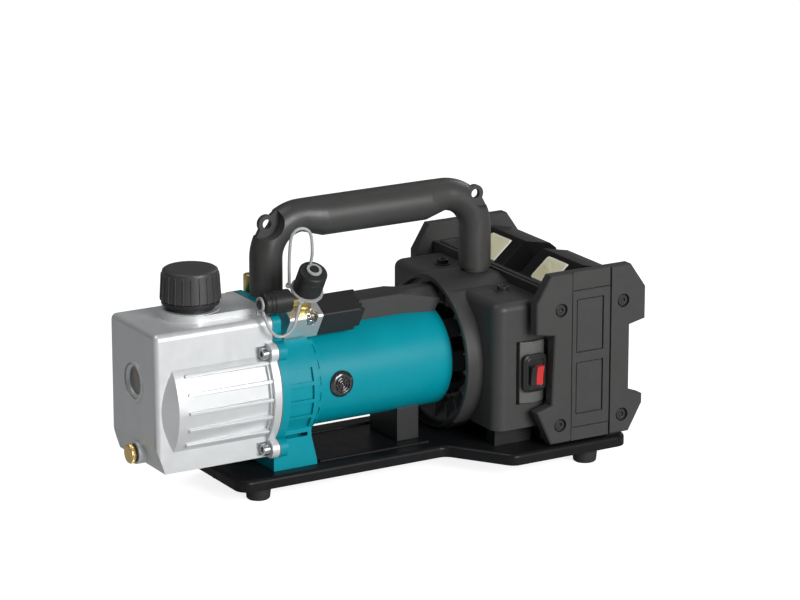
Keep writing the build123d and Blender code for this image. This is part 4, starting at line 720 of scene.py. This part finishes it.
# ---------------------------------------------------------------- motor
@dataclass
class Motor:
    """Teal bracket and tube, the black vent, the spine cover and the end bell."""

    wall: float = 2.5
    rim_radius: float = 1.8
    grille_rings: tuple[float, ...] = (4.4, 2.4, 0.6)
    ring_half_width: float = 0.45
    spokes: int = 8
    spoke_half_width: float = 0.28
    vent_holes: int = 4

    def tube(self) -> None:
        """Smooth drawn tube with a rolled rear rim."""
        box = box_of("motor_housing")
        radius, rim = box.size.y / 2, self.rim_radius
        start, end = box.low.x, box.high.x
        arc = [(radius - rim + rim * math.cos(math.radians(angle)),
                end - rim + rim * math.sin(math.radians(angle))) for angle in range(0, 91, 15)]
        profile = [(radius - self.wall, start), (radius, start), *arc,
                   (radius - self.wall, end - 0.3), (radius - self.wall, start)]
        shape = Shape()
        shape.lathe(profile, place((0, box.mid.y, box.mid.z), Axis.X), 160)
        shape.piece("motor_tube", "frame", TEAL, "motor_housing")

    def vent(self) -> None:
        """Bright black vent cap: domed rim, recessed grille of rings and spokes."""
        box = box_of("vent_cap")
        radius = box.size.x / 2
        face = box.size.y
        at = place((box.mid.x, box.high.y, box.mid.z), Axis.NEAR)
        shape = Shape()
        shape.lathe([(0, 0.6), (radius, 0.2), (radius, face - 2.0), (radius - 0.9, face - 0.8),
                     (radius - 2.2, face - 0.1), (radius - 3.4, face), (radius - 3.9, face - 0.3),
                     (radius - 3.9, face - 1.3), (0, face - 1.3)], at, 72)
        for middle in self.grille_rings:
            outer, inner = middle + self.ring_half_width, max(0, middle - self.ring_half_width)
            shape.lathe([(outer, face - 1.4), (outer, face - 0.3), (middle, face - 0.15),
                         (inner, face - 0.3), (inner, face - 1.4), (outer, face - 1.4)], at, 40)
        half, tip = self.spoke_half_width, radius - 3.8
        for turn in turns(self.spokes):
            shape.prism([(0.4, -half), (tip, -half), (tip, half), (0.4, half)], 0.95,
                        at @ turn @ Matrix.Translation((0, 0, face - 1.35)))
        shape.piece("vent_grille", "frame", GUNMETAL, "vent_cap", edge=0.12)
        holes = Shape()
        for turn in turns(self.vent_holes, 0.3):
            spot = at @ turn @ Matrix.Translation((radius - 1.9, 0, face - 0.32))
            holes.lathe([(0, 0), (0.85, 0), (0.85, 0.16), (0.6, 0.2), (0.55, 0.1), (0, 0.1)],
                        spot, 20)
        # The holes are painted dark teal as the shade inside them
        holes.piece("vent_holes", "frame", TEAL_PAINTED_SHADE)

    def build(self) -> None:
        """Build the motor's pieces."""
        soften("motor_bracket", "frame", TEAL, 0.7)
        self.tube()
        self.vent()
        soften("top_cover", "frame", CHARCOAL, 1.0)
        soften("motor_end_bell", "frame", CRADLE, 0.5)
        # The inlet ring is painted lighter grey, as painted light on its fins
        soften("air_inlet_ring", "frame", INLET_PAINTED_LIGHT, 0.3)


# ---------------------------------------------------------------- handle
@dataclass
class Handle:
    """Carrying handle with its collar."""

    edge: float = 0.6

    def build(self) -> None:
        """Build the handle's pieces."""
        soften("handle", "frame", HANDLE_SATIN, self.edge)
        soften("handle_collar", "frame", HANDLE_SATIN, self.edge)


# ---------------------------------------------------------------- rear housing and switch
@dataclass
class RearHousing:
    """Squared housing with its side switch."""

    bezel_steps: tuple[tuple[float, float], ...] = ((0.0, 0.0), (0.0, 1.4), (0.7, 2.0),
                                                    (1.5, 2.1), (1.9, 2.9), (2.7, 3.4))
    bezel_radius: float = 4.6
    lens_share: float = 0.56
    swing: float = 7.0
    pivot_depth: float = 5.0
    hollow: float = 0.7
    hollow_steps: int = 12
    mark_height: float = 3.6
    mark_width: float = 0.7
    leg_top: float = 33.0

    def switch(self) -> None:
        """Stepped bezel with a dark well, and behind it the switch's body in a near-black painted
        shade.
        """
        box = box_of("power_switch")
        half_x, half_z = box.size.x / 2, box.size.z / 2
        front = box.low.y
        depth = self.bezel_steps[-1][1]
        at = place((box.mid.x, front + depth, box.mid.z), Axis.NEAR)
        inner = self.bezel_steps[-1][0] + 0.6
        well = ((inner, depth - 0.1), (inner + 0.3, depth - 2.4))
        rings = [ring(half_x - inset, half_z - inset, self.bezel_radius - inset * 0.6, out)
                 for inset, out in (*self.bezel_steps, *well)]
        shape = Shape()
        shape.lofted(rings, at)
        shape.piece("switch_bezel", "frame", BLACK, "power_switch")
        body = Shape()
        body.prism(round_rect(half_x - 2.7, half_z - 3.7, 1.2), -15.0, at)
        # The switch body is painted near black as the shade in the well behind the bezel
        body.piece("switch_body", "frame", SHADE_BLACK, edge=0.3)

    def rocker(self) -> None:
        """Rocker of a black half and a glossy red lens half on the same pivot."""
        box = box_of("power_rocker")
        half_x, half_z = box.size.x / 2, box.size.z / 2
        front = box.low.y
        split = half_x - 2 * half_x * self.lens_share
        lean = Matrix.Rotation(math.radians(self.swing), 4, "X")
        at = Matrix.Translation((box.mid.x, front, box.mid.z)) @ Matrix.Rotation(
            math.pi / 2, 4, "Y")
        centre = Matrix.Translation((box.mid.x, front + self.pivot_depth, box.mid.z))
        outline = []
        for step in range(self.hollow_steps + 1):
            along = -1 + 2 * step / self.hollow_steps
            outline.append((along * (half_z - 0.5), 0.9 + self.hollow * (1 - along * along)))
        outline += [(half_z - 1.4, 6.0), (1.4 - half_z, 6.0)]
        for name, low, high, finish, stands in (
                ("rocker_lens", split, half_x - 0.2, RED, ("power_rocker",)),
                ("rocker_black", 0.2 - half_x, split - 0.15, BLACK, ())):
            shape = Shape()
            shape.prism(outline, high - low, at @ Matrix.Translation((0, 0, low)))
            shape.moved(shape.bm.verts, centre @ lean @ centre.inverted())
            shape.piece(name, "rocker", finish, *stands, edge=0.35)

    def marks(self) -> None:
        """Raised generic marks for on and off above the switch."""
        plate, wall = box_of("switch_plate"), box_of("rear_housing")
        at = place((plate.mid.x - 7.0, wall.low.y + 0.35, plate.high.z + 7.5), Axis.NEAR)
        shape = Shape()
        half, side = self.mark_height / 2, self.mark_width / 2
        shape.prism([(-side, -half), (side, -half), (side, half), (-side, half)], 0.55, at)
        inner = half - self.mark_width
        shape.lathe([(half, 0), (half, 0.5), (inner, 0.5), (inner, 0), (half, 0)],
                    at @ Matrix.Translation((4.2, 0, 0)), 32)
        shape.piece("switch_marks", "frame", CHARCOAL)

    def casing(self) -> None:
        """Soft casing whose short legs over the tray carry a near-black painted shade."""
        casing = soften("rear_housing", "frame", CHARCOAL, 1.2)
        # Faces below the leg top get the painted shade, standing in for the shadow under the
        # housing
        casing.data.materials.append(SHADE_BLACK.material())
        for face in casing.data.polygons:
            if face.center.z < self.leg_top * MM:
                face.material_index = 1

    def build(self) -> None:
        """Build the housing's pieces."""
        self.casing()
        soften("switch_plate", "frame", PLATE, 0.5)
        self.switch()
        self.rocker()
        self.marks()


# ---------------------------------------------------------------- batteries
@dataclass
class BatteryBay:
    """Cradle with two slide-in packs and their cream latch buttons."""

    slope: float = 40.6
    pack_edge: float = 2.2
    button_half: float = 10.4
    button_steps: tuple[tuple[float, float, float], ...] = (
        (0.0, 1.6, -2.2), (0.0, 1.6, 1.3), (0.6, 1.4, 1.95), (1.9, 1.1, 1.95), (2.6, 0.9, 1.5))

    def button(self, side: str) -> None:
        """Cream button with a dished top.

        Args:
            side: Which pack it is on, near or far.
        """
        box = box_of("battery_button_" + side)
        lay = Matrix.Translation(box.mid) @ Matrix.Rotation(math.radians(-self.slope), 4, "Y")
        half_y = box.size.y / 2 - 0.1
        shape = Shape()
        shape.lofted([ring(self.button_half - inset, half_y - inset, radius, level)
                      for inset, radius, level in self.button_steps], lay)
        shape.piece("latch_" + side, "button_" + side, CREAM, "battery_button_" + side)

    def pack(self, side: str) -> None:
        """Glossy pack with soft shoulders."""
        body = "battery_" + side
        soften(body, body, GLOSS, self.pack_edge)

    def build(self) -> None:
        """Build the cradle, packs and buttons."""
        soften("battery_cradle", "frame", CRADLE, 0.5)
        for side in ("near", "far"):
            self.pack(side)
            self.button(side)


# ---------------------------------------------------------------- guards, base and feet
@dataclass
class Guards:
    """Side guards with their sunk screws."""

    edge: float = 0.8

    def build(self) -> None:
        """Build both guards and the screws."""
        for side in ("near", "far"):
            soften("guard_" + side, "frame", CHARCOAL, self.edge)
        soften("case_screws", "frame", DARK_STEEL, 0.3)


@dataclass
class Base:
    """Tray with its feet and the saddle under the motor."""

    front_y: float = 27.0
    screw_radius: float = 3.8
    foot_radius: float = 9.35
    well_floor: float = 5.0

    def feet(self) -> None:
        """Turned rubber feet with a chamfered tread and a screw well."""
        top, reach, well = box_of("rubber_feet").high.z, self.foot_radius, self.well_floor
        profile = [(0, well), (4.1, well), (4.2, 0.4), (4.8, 0.0), (7.6, 0.0), (8.4, 0.8),
                   (9.0, top * 0.55), (reach, top - 0.6), (reach, top), (2.1, top),
                   (2.1, well + 0.4), (0, well + 0.4)]
        shape = Shape()
        for x, y in self.spots():
            shape.lathe(profile, place((x, y, 0)), 56)
        shape.piece("feet", "frame", RUBBER, "rubber_feet")

    def spots(self) -> list[tuple[float, float]]:
        """Foot centres: the rear ones from the box of the screws, the front ones narrower.

        Returns:
            The four centres.
        """
        screws, inset = box_of("foot_screws"), self.screw_radius
        front, rear = screws.low.x + inset, screws.high.x - inset
        rear_y = screws.high.y - inset
        return [(front, -self.front_y), (front, self.front_y), (rear, -rear_y), (rear, rear_y)]

    def build(self) -> None:
        """Build the tray, the feet and the saddle."""
        soften("base_tray", "frame", TRAY, 0.9)
        soften("motor_support", "frame", SADDLE, 0.6)
        self.feet()


# ---------------------------------------------------------------- studio
@dataclass
class Studio:
    """Camera, floor, world and lamps."""

    eye: Vector = field(default_factory=lambda: Vector((-1.24352, -2.18735, 0.84716)))
    target: Vector = field(default_factory=lambda: Vector((0.03462, 0.0, 0.11934)))
    lens: float = 164.65
    sensor: float = 36.0
    clip: tuple[float, float] = (0.1, 30.0)
    lamps: tuple[tuple[str, Point, float, float], ...] = (
        ("key", (0.35, -2.4, 0.9), 60.0, 1.2), ("top", (-0.8, 0.25, 2.2), 12.0, 1.0),
        ("rim", (2.0, 0.9, 1.3), 8.0, 1.0))
    lamp_target: Point = (0.0, 0.0, 0.08)
    world_light: float = 0.09
    world_shine: float = 0.12
    floor_half: float = 8.0
    floor_grey: float = 0.6
    floor_white: float = 0.85

    def aimed(self, ob: bpy.types.Object, at: Vector) -> None:
        """Turn a lamp or camera towards a point and link it.

        Args:
            ob: The lamp or camera.
            at: The point.
        """
        ob.rotation_mode = "QUATERNION"
        ob.rotation_quaternion = (at - ob.location).to_track_quat("-Z", "Y")
        bpy.context.scene.collection.objects.link(ob)

    def camera(self) -> None:
        """Set the camera on the pump."""
        data = bpy.data.cameras.new("camera")
        data.lens, data.sensor_width = self.lens, self.sensor
        data.clip_start, data.clip_end = self.clip
        camera = bpy.data.objects.new("camera", data)
        camera.location = self.eye
        self.aimed(camera, self.target)
        bpy.context.scene.camera = camera

    def light(self) -> None:
        """Hang the lamps."""
        for name, spot, power, size in self.lamps:
            lamp = bpy.data.lights.new(name, "AREA")
            lamp.energy, lamp.size = power, size
            ob = bpy.data.objects.new(name, lamp)
            ob.location = Vector(spot)
            self.aimed(ob, Vector(self.lamp_target))

    def floor(self) -> None:
        """Lay a wide pale floor that shows white away from the pump's shadow."""
        bm = bmesh.new()
        bmesh.ops.create_grid(bm, x_segments=1, y_segments=1, size=self.floor_half)
        mesh = bpy.data.meshes.new("floor")
        bm.to_mesh(mesh)
        bm.free()
        ob = bpy.data.objects.new("floor", mesh)
        bpy.context.scene.collection.objects.link(ob)
        material = bpy.data.materials.new("floor_pale")
        material.use_nodes = True
        tree = material.node_tree
        shader = tree.nodes["Principled BSDF"]
        shader.inputs["Base Color"].default_value = (*(self.floor_grey,) * 3, 1)
        shader.inputs["Roughness"].default_value = 0.8
        shader.inputs["Specular IOR Level"].default_value = 0.1
        shader.inputs["Emission Color"].default_value = (1, 1, 1, 1)
        path = tree.nodes.new("ShaderNodeLightPath")
        level = tree.nodes.new("ShaderNodeMapRange")
        level.inputs["To Max"].default_value = self.floor_white
        tree.links.new(path.outputs["Is Camera Ray"], level.inputs["Value"])
        tree.links.new(level.outputs["Result"], shader.inputs["Emission Strength"])
        mesh.materials.append(material)

    def world(self) -> None:
        """Give the world a plain white: full for the camera, softer in shine and as light."""
        world = bpy.data.worlds.new("studio_white")
        bpy.context.scene.world = world
        world.use_nodes = True
        tree = world.node_tree
        back = tree.nodes["Background"]
        back.inputs["Color"].default_value = (1, 1, 1, 1)
        path = tree.nodes.new("ShaderNodeLightPath")
        shine = tree.nodes.new("ShaderNodeMapRange")
        shine.inputs["To Min"].default_value = self.world_light
        shine.inputs["To Max"].default_value = self.world_shine
        tree.links.new(path.outputs["Is Glossy Ray"], shine.inputs["Value"])
        level = tree.nodes.new("ShaderNodeMapRange")
        tree.links.new(shine.outputs["Result"], level.inputs["To Min"])
        tree.links.new(path.outputs["Is Camera Ray"], level.inputs["Value"])
        tree.links.new(level.outputs["Result"], back.inputs["Strength"])

    def build(self) -> None:
        """Place everything that isn't the pump."""
        bpy.context.scene.view_settings.view_transform = "Standard"
        self.camera()
        self.floor()
        self.world()
        self.light()


def dress_nodes(frame: dict) -> None:
    """Give every CAD node the finish of its slot.

    Args:
        frame: The loaded frame, with its record and its nodes.
    """
    for row in frame["record"]["subparts"]:
        node = frame["nodes"][row["node"]]
        node.data.materials.clear()
        node.data.materials.append(FINISHES[row["material_slot"]].material())


def main() -> None:
    """Build every sub-assembly in order."""
    logging.basicConfig(level=logging.INFO, format="%(message)s")
    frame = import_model()
    dress_nodes(frame)
    Studio().build()
    for assembly in (Tethers(), OilTank(), Intake(), Motor(), Handle(), RearHousing(),
                     BatteryBay(), Guards(), Base()):
        LOG.info("%s", type(assembly).__name__)
        assembly.build()


if __name__ == "__main__":
    main()
